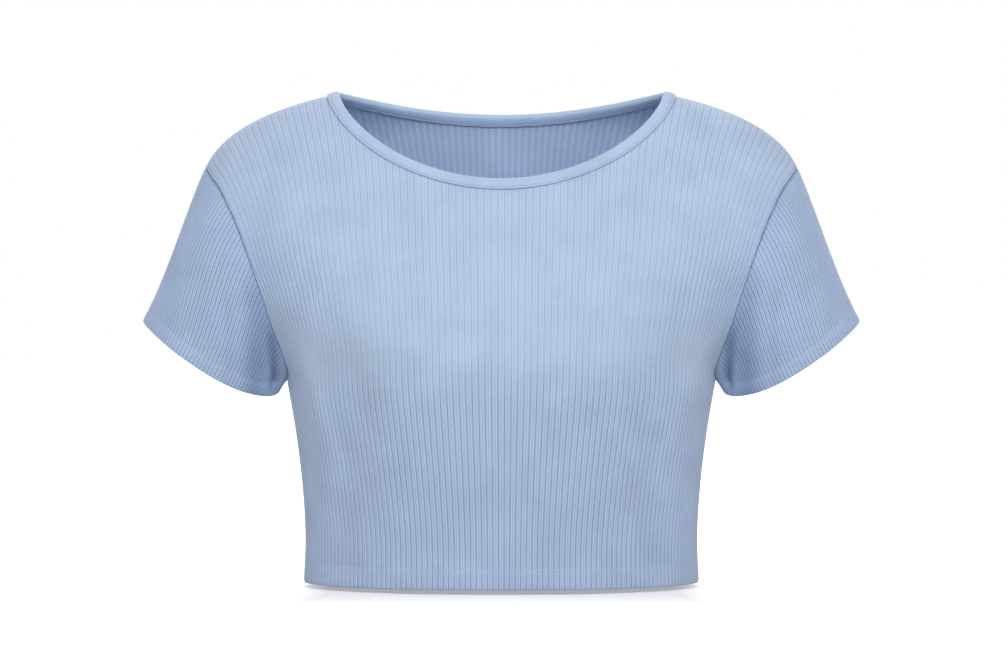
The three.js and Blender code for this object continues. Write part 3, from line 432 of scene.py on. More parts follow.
class PanelPlan:
    """Outline of the front or the back on the sheet."""

    def __init__(self, is_back: bool) -> None:
        self.is_back = is_back
        self.neck = Neck(-16.7, 1.2) if is_back else Neck(-71.0, 0.68)
        self.under = SHEET.back_under if is_back else SHEET.front_under
        self.towards = -1.0 if is_back else 1.0
        self.hem = SHEET.end if is_back else 0.0
        self.corner = SHEET.points(np.array([NECK_RIBS]), np.array([SHEET.ridge]))[0]
        steps = self.under + self.towards * np.arange(0, 150, 0.25)
        left = SHEET.edge("ribs", steps)
        self.scoop_end = steps[int(np.argmax(left <= ARMHOLE_RIBS + 1e-6))]
        armhole = np.linspace(self.under, SHEET.ridge, 400)
        seam = np.stack([SHEET.edge(n, armhole) for n in ("edge_x", "edge_out", "edge_up")], -1)
        gone = np.concatenate([[0.0], np.cumsum(np.linalg.norm(np.diff(seam, axis=0), axis=1))])
        self.seam = seam[::-1]
        self.seam_share = (1 - gone / gone[-1])[::-1]

    def neck_up(self, x: np.ndarray) -> np.ndarray:
        """Height of the cut neckline.

        Args:
            x: Distance from the centre.

        Returns:
            Heights in millimetres.
        """
        t = np.clip(np.abs(x) / self.corner[0], 0, 1)
        return self.corner[2] + (self.neck.depth - self.corner[2]) * (1 - t * t) ** self.neck.round

    def top(self, rib: np.ndarray) -> np.ndarray:
        """Place along the sheet where rib lines end.

        Args:
            rib: Ribs from the centre line.

        Returns:
            Places along the sheet.
        """
        size = np.abs(rib)
        zero = np.zeros_like(size)

        def over_neck(place: np.ndarray) -> np.ndarray:
            point = SHEET.points(rib, self.under + self.towards * place)
            return point[..., 2] - self.neck_up(point[..., 0])

        def over_scoop(place: np.ndarray) -> np.ndarray:
            return size - SHEET.edge("ribs", self.under + self.towards * place)

        neck = bisect(over_neck, zero, zero + abs(SHEET.ridge - self.under))
        scoop = bisect(over_scoop, zero, zero + abs(self.scoop_end - self.under))
        place = np.where(size > ARMHOLE_RIBS, scoop,
                         np.where(size >= NECK_RIBS, abs(SHEET.ridge - self.under), neck))
        return self.under + self.towards * place

    def seam_at(self, share: np.ndarray) -> np.ndarray:
        """Points of the armhole seam.

        Args:
            share: Shares of its length from the shoulder.

        Returns:
            Points in millimetres.
        """
        return np.stack([np.interp(share, self.seam_share, self.seam[:, k]) for k in range(3)],
                        axis=-1)


FRONT = PanelPlan(False)
BACK = PanelPlan(True)


PHASES = (0.0, 1 / 6, 1 / 3, 1 / 2, 2 / 3, 5 / 6, 1.0)
OUTER_HEIGHTS = (0.0, 0.8, 1.0, 0.72, 1.0, 0.8, 0.0)
INNER_HEIGHTS = (1.0, 1.0, 1.0, 0.5, 0.0, 0.5, 1.0)
# Painted shade of the outer ribs: darker in the groove and in the dip between a rib's two
# stitches.
GROOVE_SHADE = (1.0, 0.1, 0.0, 0.0, 0.0, 0.1, 1.0)
DIP_SHADE = (0.0, 0.0, 0.1, 1.0, 0.1, 0.0, 0.0)


def rib_profile(phase: np.ndarray, skin: Skin) -> np.ndarray:
    """Height of the rib relief.

    Args:
        phase: Place within one rib, with the outer groove at 0.
        skin: Side of the cloth.

    Returns:
        Heights from 0 to 1 of the relief.
    """
    return np.interp(phase % 1.0, PHASES, OUTER_HEIGHTS if skin is Skin.OUTER else INNER_HEIGHTS)


def rib_shade(phase: np.ndarray, painted_groove_shade: np.ndarray, painted_dip_shade: np.ndarray) -> np.ndarray:
    """Painted shade of the outer ribs, which the finish reads: darker in the groove and the dip,
    where shade falls.

    Args:
        phase: Place within one rib, with the groove at 0.
        painted_groove_shade: How dark the painted shade in the groove is.
        painted_dip_shade: How dark the painted shade in the dip between the two stitches of a rib
            is.

    Returns:
        Lightness from 0 to 1.
    """
    place = phase % 1.0
    dark = painted_groove_shade * np.interp(place, PHASES, GROOVE_SHADE)
    return 1.0 - dark - painted_dip_shade * np.interp(place, PHASES, DIP_SHADE)


class Shell:
    """Grid of cloth with an outer and an inner skin, turned into one closed mesh."""

    def __init__(self, name: str) -> None:
        self.name = name
        self.points: list[np.ndarray] = []
        self.painted_shade: list[np.ndarray] = []
        self.inside_painted_light: list[np.ndarray] = []
        self.faces: list[tuple[int, ...]] = []
        self.count = 0

    def add(self, points: np.ndarray, painted_shade: np.ndarray, inside_painted_light: float = 0.0) -> np.ndarray:
        """Adds corners.

        Args:
            points: Positions in millimetres.
            painted_shade: Painted shade at each corner, a lightness from 0 to 1, below 0 for the
                painted shade of sleeve folds.
            inside_painted_light: 1 where the inside of the cloth shows, which the finish paints
                lighter and bluer as painted bounce light, 0 on the outside.

        Returns:
            Their numbers in the mesh.
        """
        ids = np.arange(self.count, self.count + len(points))
        self.points.append(points)
        self.painted_shade.append(painted_shade)
        self.inside_painted_light.append(np.full(len(points), inside_painted_light))
        self.count += len(points)
        return ids

    def quads(self, ids: np.ndarray, flip: bool) -> None:
        """Covers a grid of corners, leaving out cells with a missing corner.

        Args:
            ids: Corner numbers by column and row, -1 where there is none.
            flip: Whether the faces look the other way.
        """
        a, b, c, d = ids[:-1, :-1], ids[1:, :-1], ids[1:, 1:], ids[:-1, 1:]
        whole = (a >= 0) & (b >= 0) & (c >= 0) & (d >= 0)
        order = (a, d, c, b) if flip else (a, b, c, d)
        cells = np.stack([part[whole] for part in order], axis=-1)
        self.faces.extend(map(tuple, cells.tolist()))

    def strip(self, outer: Sequence[int], inner: Sequence[int], flip: bool) -> None:
        """Closes the rim between an outer and an inner line of corners.

        Args:
            outer: Outer corners; a whole number of steps for each inner step.
            inner: Inner corners.
            flip: Whether the faces look the other way.
        """
        each = (len(outer) - 1) // (len(inner) - 1)
        for k in range(len(inner) - 1):
            top = [int(v) for v in outer[k * each:(k + 1) * each + 1]]
            face = [*top[::-1], int(inner[k]), int(inner[k + 1])]
            self.faces.append(tuple(face[::-1] if flip else face))

    def build(self) -> bpy.types.Object:
        """Makes the mesh object.

        Returns:
            The new object, linked to the scene.
        """
        mesh = bpy.data.meshes.new(self.name)
        mesh.from_pydata((np.vstack(self.points) * MM).tolist(), [], self.faces)
        for name, values in (("painted_shade", self.painted_shade), ("inside_painted_light", self.inside_painted_light)):
            attribute = mesh.attributes.new(name, "FLOAT", "POINT")
            attribute.data.foreach_set("value", np.concatenate(values).astype(np.float32))
        piece = bpy.data.objects.new(self.name, mesh)
        bpy.context.scene.collection.objects.link(piece)
        bpy.ops.object.select_all(action="DESELECT")
        piece.select_set(True)
        bpy.context.view_layer.objects.active = piece
        bpy.ops.object.mode_set(mode="EDIT")
        bpy.ops.mesh.select_all(action="SELECT")
        bpy.ops.mesh.remove_doubles(threshold=3e-6)
        bpy.ops.mesh.normals_make_consistent(inside=False)
        bpy.ops.object.mode_set(mode="OBJECT")
        bpy.ops.object.shade_smooth()
        return piece


@dataclass
class Panel:
    """Front or back of the body."""

    name: str
    plan: PanelPlan
    lower_rows: tuple[float, ...] = (0, 0.7, 2, 4.5, 7.5, 10, 11.2, 11.9, 12.7, 13.6, 14.4, 15.1,
                                     16, 17.5, 20, 24, 29, 34.5, 40, 46, 52, 58, 64, 70, 76, 82,
                                     88, 94, 100, 106, 112, 118, 124, 130, 136, 142, 147, 151)
    scoop_rows: int = 26
    upper_rows: int = 28
    hem_depth: float = 16.0
    stitch_rows: tuple[float, float] = (11.9, 15.1)
    strip_width: float = 2.2
    strip_height: float = 0.4
    chest_ease: tuple[float, float] = (0.55, 0.64)
    # Strength of the painted shade in the rib dips and in the inner rib grooves.
    painted_dip_dark: float = 0.5
    painted_inner_dark: float = 0.78
    pull_up: tuple[float, float] = (-245.0, -190.0)
    loose_side: tuple[float, float] = (100.0, 155.0)
    shoulder_up: tuple[float, float] = (-160.0, -95.0)
    shoulder_pull: float = 0.85
    back_pull: float = 0.45
    slack_place: tuple[float, float] = (141.0, -203.0)
    slack_reach: tuple[float, float] = (15.0, 26.0)
    slack_fade: float = 0.6
    back_slack: float = 0.3

    def heights(self) -> tuple[np.ndarray, int]:
        """Mesh rows from hem to top.

        Returns:
            Row heights between 0 and 3, and the number of the row at the scoop's top.
        """
        lower = np.array(self.lower_rows) / (UNDERARM_UP - HEM_UP)
        scoop = 1 + np.linspace(0, 1, self.scoop_rows + 1)
        t = np.linspace(0, 1, self.upper_rows + 1)[1:]
        upper = 2 + t + 0.06 * np.sin(math.pi * t)
        return np.concatenate([lower, scoop, upper]), len(lower) + self.scoop_rows

    def skin(self, shell: Shell, side: Skin) -> np.ndarray:
        """Adds one skin of the panel to the shell.

        Args:
            shell: Mesh that is being made.
            side: Outer or inner skin.

        Returns:
            Corner numbers by column and row.
        """
        plan = self.plan
        step = CLOTH.per_rib if side is Skin.OUTER else CLOTH.per_rib // 2
        ribs = np.arange(-SIDE_RIBS * step, SIDE_RIBS * step + 1) / step
        rows, _ = self.heights()
        top = plan.top(ribs)
        size = np.abs(ribs)
        grid_rib, grid_row = np.meshgrid(ribs, rows, indexing="ij")
        hem = plan.hem + (plan.under - plan.hem) * np.clip(grid_row, 0, 1)
        end = np.where(size > ARMHOLE_RIBS, top, plan.scoop_end)[:, None]
        middle = (end - plan.under) * np.clip(grid_row - 1, 0, 1)
        upper = (top[:, None] - plan.scoop_end) * np.clip(grid_row - 2, 0, 1)
        along = hem + middle + upper
        keep = (grid_row <= 2 + 1e-9) | (np.abs(grid_rib) <= ARMHOLE_RIBS)
        rib, place, row = grid_rib[keep], along[keep], grid_row[keep]
        point = SHEET.points(rib, place)
        normal = SHEET.normals(rib, place)
        painted_shade, offset = self.surface(side, rib, row, point)
        point = point + normal * offset[:, None]
        ids = np.full(grid_rib.shape, -1)
        ids[keep] = shell.add(point, painted_shade, float(side is Skin.INNER))
        return ids

    def surface(self, side: Skin, rib: np.ndarray, row: np.ndarray,
                point: np.ndarray) -> tuple[np.ndarray, np.ndarray]:
        """Relief and offset of a skin.

        Args:
            side: Outer or inner skin.
            rib: Ribs from the centre line.
            row: Row heights.
            point: Points of the plain cloth.

        Returns:
            Painted shade at each corner, and how far the skin lies over the plain cloth.
        """
        plan = self.plan
        mirrored = point.copy()
        mirrored[:, 0] = np.abs(mirrored[:, 0])
        to_seam = np.full(len(point), FAR)
        near = mirrored[:, 0] > 140
        seam = plan.seam[::4]
        to_seam[near] = np.min(np.linalg.norm(mirrored[near][:, None] - seam[None], axis=2),
                               axis=1)
        to_side = np.where(row <= 1, (SIDE_RIBS - np.abs(rib)) * RIB_PITCH, FAR)
        to_ridge = np.abs(SHEET.ridge - self.place_of(row))
        to_ridge = np.where(np.abs(rib) >= NECK_RIBS, to_ridge, FAR)
        above_hem = point[:, 2] - HEM_UP
        phase = rib + 0.5
        profile = rib_profile(phase, side)
        live = ramp(to_seam, 0.5, 2.4) * ramp(to_side, 0.5, 2.5) * ramp(to_ridge, 0.5, 2.4)
        ditch = (np.exp(-(to_seam / 0.9) ** 2) + np.exp(-(to_side / 1.0) ** 2)
                 + np.exp(-(to_ridge / 0.9) ** 2))
        if side is Skin.INNER:
            inward = CLOTH.wall + CLOTH.inner_ridge * profile * live
            inward = inward + CLOTH.hem_extra * (1 - ramp(above_hem, self.hem_depth - 0.6,
                                                         self.hem_depth + 0.9))
            inward = inward - 0.5 * (1 - ramp(above_hem, 0.0, 1.6))
            # Painted shade in the grooves of the inner ribs.
            return 1.0 - self.painted_inner_dark * (1 - profile * live), -inward
        low, high = self.stitch_rows
        band = ramp(above_hem, low - 0.7, low) * (1 - ramp(above_hem, high, high + 0.7))
        rows_at = (np.exp(-((above_hem - low) / 0.7) ** 2)
                   + np.exp(-((above_hem - high) / 0.7) ** 2))
        pull = self.stretch(point)
        live = live * (1 - 0.2 * band) * (1 - self.slack_fade * self.slack(point))
        strength = live * (1 - self.chest_ease[0] * pull)
        out = CLOTH.rib * (profile * strength + 0.6 * (1 - strength))
        out = out - 0.6 * ditch - 0.16 * rows_at
        raised = np.exp(-((to_seam - self.strip_width / 2) / (self.strip_width / 2.4)) ** 2)
        out = out + self.strip_height * raised
        out = out - 0.55 * (1 - ramp(above_hem, 0.0, 1.8))
        # Painted shade: the rib grooves and dips and the seam ditches are darkened in colour, less
        # where the cloth is pulled smooth.
        painted_groove_shade = live * (1 - self.chest_ease[0] * pull)
        painted_dip_shade = self.painted_dip_dark * live * (1 - self.chest_ease[1] * pull)
        # The 0.9 * ditch term is painted shade in the seam ditches.
        shade = rib_shade(phase, painted_groove_shade, painted_dip_shade) - 0.9 * ditch
        return np.clip(shade, 0, 1), out

    def stretch(self, point: np.ndarray) -> np.ndarray:
        """How far the cloth is pulled smooth over the chest.

        Args:
            point: Points of the plain cloth.

        Returns:
            Shares from 0 to 1.
        """
        x, up = np.abs(point[:, 0]), point[:, 2]
        side = ramp(x, *self.loose_side) * (1 - self.shoulder_pull * ramp(up, *self.shoulder_up))
        pull = ramp(up, *self.pull_up) * (1 - side)
        return pull * (self.back_pull if self.plan.is_back else 1.0)

    def slack(self, point: np.ndarray) -> np.ndarray:
        """How far the ribs fade in the slack cloth beside the underarm of the front.

        Args:
            point: Points of the plain cloth.

        Returns:
            Shares from 0 to 1.
        """
        x, up = np.abs(point[:, 0]), point[:, 2]
        over, rise = x - self.slack_place[0], up - self.slack_place[1]
        patch = np.exp(-(over / self.slack_reach[0]) ** 2 - (rise / self.slack_reach[1]) ** 2)
        return patch * (self.back_slack if self.plan.is_back else 1.0)

    def place_of(self, row: np.ndarray) -> np.ndarray:
        """Place along the sheet of rows near the shoulder.

        Args:
            row: Row heights.

        Returns:
            Places along the sheet.
        """
        plan = self.plan
        return plan.scoop_end + (SHEET.ridge - plan.scoop_end) * np.clip(row - 2, 0, 1)

    def build(self) -> bpy.types.Object:
        """Makes the closed cloth shell.

        Returns:
            The new object.
        """
        shell = Shell(self.name)
        flip = self.plan.is_back
        _, scoop = self.heights()
        outer = self.skin(shell, Skin.OUTER)
        inner = self.skin(shell, Skin.INNER)
        shell.quads(outer, flip)
        shell.quads(inner, not flip)
        rims = [self.rim(outer, CLOTH.per_rib, scoop), self.rim(inner, CLOTH.per_rib // 2, scoop)]
        for out_line, in_line in zip(*rims):
            shell.strip(out_line, in_line, flip)
        return shell.build()

    def rim(self, ids: np.ndarray, step: int, scoop: int) -> list[np.ndarray]:
        """Edge lines of a skin, one after another round the panel.

        Args:
            ids: Corner numbers by column and row.
            step: Columns a rib.
            scoop: Number of the row at the top of the scoop.

        Returns:
            The edge lines.
        """
        last = ids.shape[0] - 1
        arm = int((SIDE_RIBS - ARMHOLE_RIBS) * step)
        return [
            ids[:, 0],
            ids[last, :scoop + 1],
            ids[last - arm:, scoop][::-1],
            ids[last - arm, scoop:],
            ids[arm:last - arm + 1, -1][::-1],
            ids[arm, scoop:][::-1],
            ids[:arm + 1, scoop][::-1],
            ids[0, :scoop + 1][::-1],
        ]


@dataclass
class Sleeve:
    """One short sleeve."""

    name: str
    side: float
    centre: tuple[float, float, float] = (220.85, 0.0, -202.5)
    wide: tuple[float, float, float] = (0.88, 0.0, 0.476)
    down: tuple[float, float, float] = (0.476, 0.0, -0.88)
    half_width: float = 57.8
    half_depth: float = 46.0
    drop: tuple[float, float, float] = (7.5, 3.0, 2.5)
    lean: tuple[float, float] = (-0.085, 0.35)
    cap_ease: float = 0.25
    cap_swing: float = 0.085
    half_girth: float = 164.0
    hem_depth: float = 10.8
    hem_rows: tuple[float, ...] = (0, 0.6, 1.8, 4, 6.4, 7.4, 8.1, 8.9, 9.8, 10.6, 11.4, 13)
    stitch_rows: tuple[float, float] = (8.1, 10.6)
    upper_rows: int = 26
    # Strength of the painted shade in the rib dips and in the inner rib grooves.
    painted_dip_dark: float = 0.56
    painted_inner_dark: float = 0.78
    back_push: float = 1.6
    push_from: tuple[float, float] = (0.45, 0.62)
    push_to: tuple[float, float] = (0.8, 0.97)
    # Painted shade in the sleeve's fold troughs: fold depth for full painted shade, and its
    # strength.
    painted_fold_shade_depth: float = 13.0
    painted_fold_shade_dark: float = 0.9

    def frame(self) -> tuple[np.ndarray, np.ndarray, np.ndarray]:
        """Directions of the arm.

        Returns:
            Unit vectors across the cuff, to the front and down the arm.
        """
        return unit(np.array(self.wide)), np.array([0.0, -1.0, 0.0]), unit(np.array(self.down))

    def radial(self, t: np.ndarray) -> np.ndarray:
        """Directions out of the arm.

        Args:
            t: Shares of the ribs from the top, negative at the back.

        Returns:
            Unit vectors.
        """
        wide, fore, _ = self.frame()
        angle = np.pi * t[..., None]
        return wide * np.cos(angle) + fore * np.sin(angle)

    def cuff(self, t: np.ndarray) -> np.ndarray:
        """Points of the cuff edge.

        Args:
            t: Shares of the ribs from the top.

        Returns:
            Points in millimetres.
        """
        wide, fore, down = self.frame()
        angle = np.pi * t[..., None]
        sine = np.abs(np.sin(angle))
        fall = (self.drop[0] * sine + self.drop[1] * sine ** 2
                - self.drop[2] * np.sin(2 * np.abs(angle)))
        return (np.array(self.centre) + wide * self.half_width * np.cos(angle)
                + fore * self.half_depth * np.sin(angle) + down * fall)

    def seam(self, t: np.ndarray) -> np.ndarray:
        """Points of the armhole seam.

        Args:
            t: Shares of the ribs from the top.

        Returns:
            Points in millimetres.
        """
        size = np.abs(t)
        share = size - self.cap_ease * np.sin(2 * np.pi * size) / (2 * np.pi)
        share = share - self.cap_swing * np.sin(np.pi * size)
        return np.where((t < 0)[..., None], BACK.seam_at(share), FRONT.seam_at(share))

    def points(self, t: np.ndarray, q: np.ndarray) -> np.ndarray:
        """Points of the plain sleeve.

        Args:
            t: Shares of the ribs from the top, negative at the back.
            q: Shares of the way from the seam to the cuff.

        Returns:
            Points in millimetres.
        """
        turn = np.where(t > 1, t - 2, np.where(t < -1, t + 2, t))
        start, end = self.seam(turn), self.cuff(turn)
        length = np.linalg.norm(end - start, axis=-1, keepdims=True)
        _, _, down = self.frame()
        radial = self.radial(turn)
        lean = self.lean[0] + self.lean[1] * np.sin(np.pi * turn[..., None]) ** 2
        leave = unit(down + radial * lean)
        s = q[..., None]
        s2, s3 = s * s, s * s * s
        point = (start * (2 * s3 - 3 * s2 + 1) + leave * length * (s3 - 2 * s2 + s)
                 + end * (3 * s2 - 2 * s3) + down * length * (s3 - s2))
        hold = 4 * q * (1 - q)
        hold = np.where(q > 0.5, np.maximum(hold, 0.35), hold) * ramp(length[..., 0] * q, 0, 5)
        move = self.move(turn, q * length[..., 0])
        size = np.abs(turn)
        back = self.back_push * ramp(size, *self.push_from) * (1 - ramp(size, *self.push_to))
        back = back * np.sign(turn)
        outward = unit(radial + np.array([0.0, -1.0, 0.0]) * back[..., None])
        return point + outward * (move * np.clip(hold, 0, 1))[..., None]

    def move(self, turn: np.ndarray, down: np.ndarray) -> np.ndarray:
        """How far the folds move the cloth outwards.

        Args:
            turn: Shares of the ribs from the top, negative at the back.
            down: Distances from the seam.

        Returns:
            Movements in millimetres.
        """
        return fold_out(SLEEVE_FOLDS, turn * self.half_girth, down)

    def normals(self, t: np.ndarray, q: np.ndarray) -> np.ndarray:
        """Outward normals of the plain sleeve.

        Args:
            t: Shares of the ribs from the top.
            q: Shares of the way from the seam to the cuff.

        Returns:
            Unit vectors.
        """
        around = self.points(t + 0.012, q) - self.points(t - 0.012, q)
        down = self.points(t, np.minimum(q + 0.03, 1)) - self.points(t, np.maximum(q - 0.03, 0))
        normal = unit(np.cross(down, around))
        facing = np.sign(np.sum(normal * self.radial(t), axis=-1, keepdims=True))
        return normal * np.where(facing == 0, 1, facing)

    def skin(self, shell: Shell, side: Skin) -> np.ndarray:
        """Adds one skin of the sleeve to the shell.

        Args:
            shell: Mesh that is being made.
            side: Outer or inner skin.

        Returns:
            Corner numbers by column and row, the first column repeated at the end.
        """
        step = CLOTH.per_rib if side is Skin.OUTER else CLOTH.per_rib // 2
        ribs = np.arange(-SLEEVE_RIBS * step, SLEEVE_RIBS * step) / step
        t = ribs / SLEEVE_RIBS
        length = np.linalg.norm(self.cuff(t) - self.seam(t), axis=-1)
        hem = np.array(self.hem_rows)
        scale = np.minimum(1.0, 0.72 * length / hem[-1])
        low = 1 - hem[None, ::-1] * scale[:, None] / length[:, None]
        share = np.linspace(0, 1, self.upper_rows + 1)[None, :-1] ** 1.15
        q = np.concatenate([share * low[:, :1], low], axis=1)
        grid_t = np.broadcast_to(t[:, None], q.shape)
        grid_rib = np.broadcast_to(ribs[:, None], q.shape)
        point = self.points(grid_t, q)
        normal = self.normals(grid_t, q)
        from_seam = q * length[:, None]
        above = (1 - q) * length[:, None] / scale[:, None]
        profile = rib_profile(grid_rib + 0.5, side)
        live = ramp(from_seam, 0.3, 1.8)
        ditch = np.exp(-(from_seam / 1.0) ** 2)
        if side is Skin.INNER:
            inward = CLOTH.wall + CLOTH.inner_ridge * profile * live
            inward = inward + CLOTH.hem_extra * (1 - ramp(above, self.hem_depth - 0.5,
                                                         self.hem_depth + 0.7))
            offset = -(inward - 0.5 * (1 - ramp(above, 0.0, 1.5)))
            # Painted shade in the grooves of the inner ribs.
            painted_shade = 1.0 - self.painted_inner_dark * (1 - profile * live)
        else:
            first, second = self.stitch_rows
            band = ramp(above, first - 0.6, first) * (1 - ramp(above, second, second + 0.6))
            rows_at = (np.exp(-((above - first) / 0.6) ** 2)
                       + np.exp(-((above - second) / 0.6) ** 2))
            live = live * (1 - 0.2 * band)
            offset = CLOTH.rib * (profile * live + 0.6 * (1 - live)) - 0.5 * ditch
            offset = offset - 0.16 * rows_at - 0.5 * (1 - ramp(above, 0.0, 1.6))
            # Painted shade in the rib grooves and dips and at the seam ditch.
            shade = rib_shade(grid_rib + 0.5, live, self.painted_dip_dark * live)
            # Painted shade in the fold troughs beside the underarm, stronger where the folds move
            # the cloth further in.
            painted_fold_share = np.clip(-self.move(grid_t, from_seam) / self.painted_fold_shade_depth, 0, 1)
            painted_shade = np.clip(shade - 0.9 * ditch, 0, 1) - self.painted_fold_shade_dark * painted_fold_share
        point = point + normal * offset[..., None]
        point[..., 0] *= self.side
        inside_painted_light = float(side is Skin.INNER)
        ids = shell.add(point.reshape(-1, 3), painted_shade.ravel(), inside_painted_light).reshape(q.shape)
        return np.vstack([ids, ids[:1]])

    def build(self) -> bpy.types.Object:
        """Makes the closed cloth shell.

        Returns:
            The new object.
        """
        shell = Shell(self.name)
        outer = self.skin(shell, Skin.OUTER)
        inner = self.skin(shell, Skin.INNER)
        shell.quads(outer, False)
        shell.quads(inner, True)
        shell.strip(outer[:, 0], inner[:, 0], False)
        shell.strip(outer[:, -1], inner[:, -1], True)
        return shell.build()


@dataclass
class NeckEdge:
    """Neckline seen as one closed line of stations."""

    count: int = 208
    reach: float = 8.0
    point: np.ndarray = field(init=False)
    normal: np.ndarray = field(init=False)
    into: np.ndarray = field(init=False)
    bulge: np.ndarray = field(init=False)
    far_normal: np.ndarray = field(init=False)

    def __post_init__(self) -> None:
        half = np.linspace(-np.pi / 2, np.pi / 2, self.count + 1)[:-1]
        ribs = NECK_RIBS * np.sin(half)
        front, back = FRONT.top(ribs), BACK.top(-ribs)
        front[0] = back[0] = SHEET.ridge
        rib = np.concatenate([ribs, -ribs])
        along = np.concatenate([front, back])
        self.point = SHEET.points(rib, along)
        self.normal = SHEET.normals(rib, along)
        tangent = unit(np.roll(self.point, -1, axis=0) - np.roll(self.point, 1, axis=0))
        into = unit(np.cross(tangent, self.normal))
        far, far_rib, far_along = self.settle(self.point + into * self.reach, rib, along)
        middle, _, _ = self.settle(self.point + into * self.reach / 2, rib, along)
        self.into = unit(far - self.point)
        self.bulge = middle - (self.point + self.into * self.reach / 2)
        self.far_normal = SHEET.normals(far_rib, far_along)

    @staticmethod
    def settle(target: np.ndarray, rib: np.ndarray,
               along: np.ndarray) -> tuple[np.ndarray, np.ndarray, np.ndarray]:
        """Nearest points of the sheet.

        Args:
            target: Places in millimetres.
            rib: First guess of the ribs.
            along: First guess of the place along the sheet.

        Returns:
            Points, ribs and places along the sheet.
        """
        r, a = rib.copy(), along.copy()
        for _ in range(8):
            here = SHEET.points(r, a)
            over = (SHEET.points(r + 0.05, a) - here) * 20
            up = SHEET.points(r, a + 0.2) - here
            up = up * 5
            gap = target - here
            aa, ab, bb = (over * over).sum(1), (over * up).sum(1), (up * up).sum(1)
            ga, gb = (gap * over).sum(1), (gap * up).sum(1)
            det = aa * bb - ab * ab
            r = r + (ga * bb - gb * ab) / det
            a = a + (gb * aa - ga * ab) / det
        return SHEET.points(r, a), r, a

    def place(self, into: float, over: float) -> np.ndarray:
        """Closed line beside the neckline.

        Args:
            into: Distance from the cut edge into the cloth.
            over: Height over the cloth.

        Returns:
            A point for each station.
        """
        share = into / self.reach
        curve = 1 - (2 * share - 1) ** 2 if share > 0 else 0.0
        normal = unit(self.normal * (1 - share) + self.far_normal * share)
        return self.point + self.into * into + self.bulge * curve + normal * over

    def normals(self) -> np.ndarray:
        """Normals at the cut edge.

        Returns:
            A unit vector for each station.
        """
        return self.normal


@dataclass
class Binding:
    """Plain knit strip that is folded over the neck edge."""

    edge: NeckEdge
    name: str = "knit_neck_binding"
    # Painted shade in the stitch channel and on the folded lower edge of the strip.
    channel: tuple[float, float] = (5.9, 6.6)
    channel_shade: float = 0.3
    edge_from: float = 7.6
    edge_shade: float = 0.45
    inside_under: float = -1.8
    section: tuple[tuple[float, float], ...] = (
        (7.55, 0.82), (7.95, 1.05), (8.0, 1.5), (7.7, 1.86), (7.2, 1.96), (6.75, 1.9),
        (6.35, 1.66), (6.1, 1.62), (5.8, 1.8), (5.2, 2.12), (4.2, 2.3), (3.0, 2.36),
        (1.8, 2.3), (0.6, 2.1), (-0.5, 1.65), (-1.3, 0.9), (-1.65, 0.0), (-1.7, -0.9),
        (-1.35, -1.9), (-0.6, -2.6), (0.6, -3.0), (2.4, -3.15), (4.4, -3.15), (5.6, -2.95),
        (6.1, -2.75), (6.5, -2.8), (7.1, -2.95), (7.6, -2.85), (7.85, -2.5), (7.6, -2.15),
        (6.0, -2.05), (3.0, -2.0), (0.6, -1.95), (-0.4, -1.5), (-0.75, -0.6), (-0.45, 0.3),
        (0.4, 0.8), (3.0, 0.86), (6.0, 0.84))

    def build(self) -> bpy.types.Object:
        """Makes the strip.

        Returns:
            The new object.
        """
        shell = Shell(self.name)
        station = np.arange(len(self.edge.point))
        rings = []
        for into, over in self.section:
            ripple = 0.09 * np.sin(station * 0.61) + 0.07 * np.sin(station * 1.37 + 1.0)
            lift = ripple if over > 1.5 or over < -2.6 else 0.0 * ripple
            points = self.edge.place(into, over) + self.edge.normals() * lift[:, None]
            # Painted shade in the stitch channel and on the strip's lower edge.
            low, high = self.channel
            shade = self.channel_shade if low < into < high else 1.0
            shade = self.edge_shade if into > self.edge_from else shade
            # The underside of the strip gets the painted bounce light of the inside.
            inside = float(over < self.inside_under)
            rings.append(shell.add(points, np.full(len(points), shade), inside))
        grid = np.array(rings + [rings[0]])
        grid = np.hstack([grid, grid[:, :1]])
        shell.quads(grid, False)
        return shell.build()


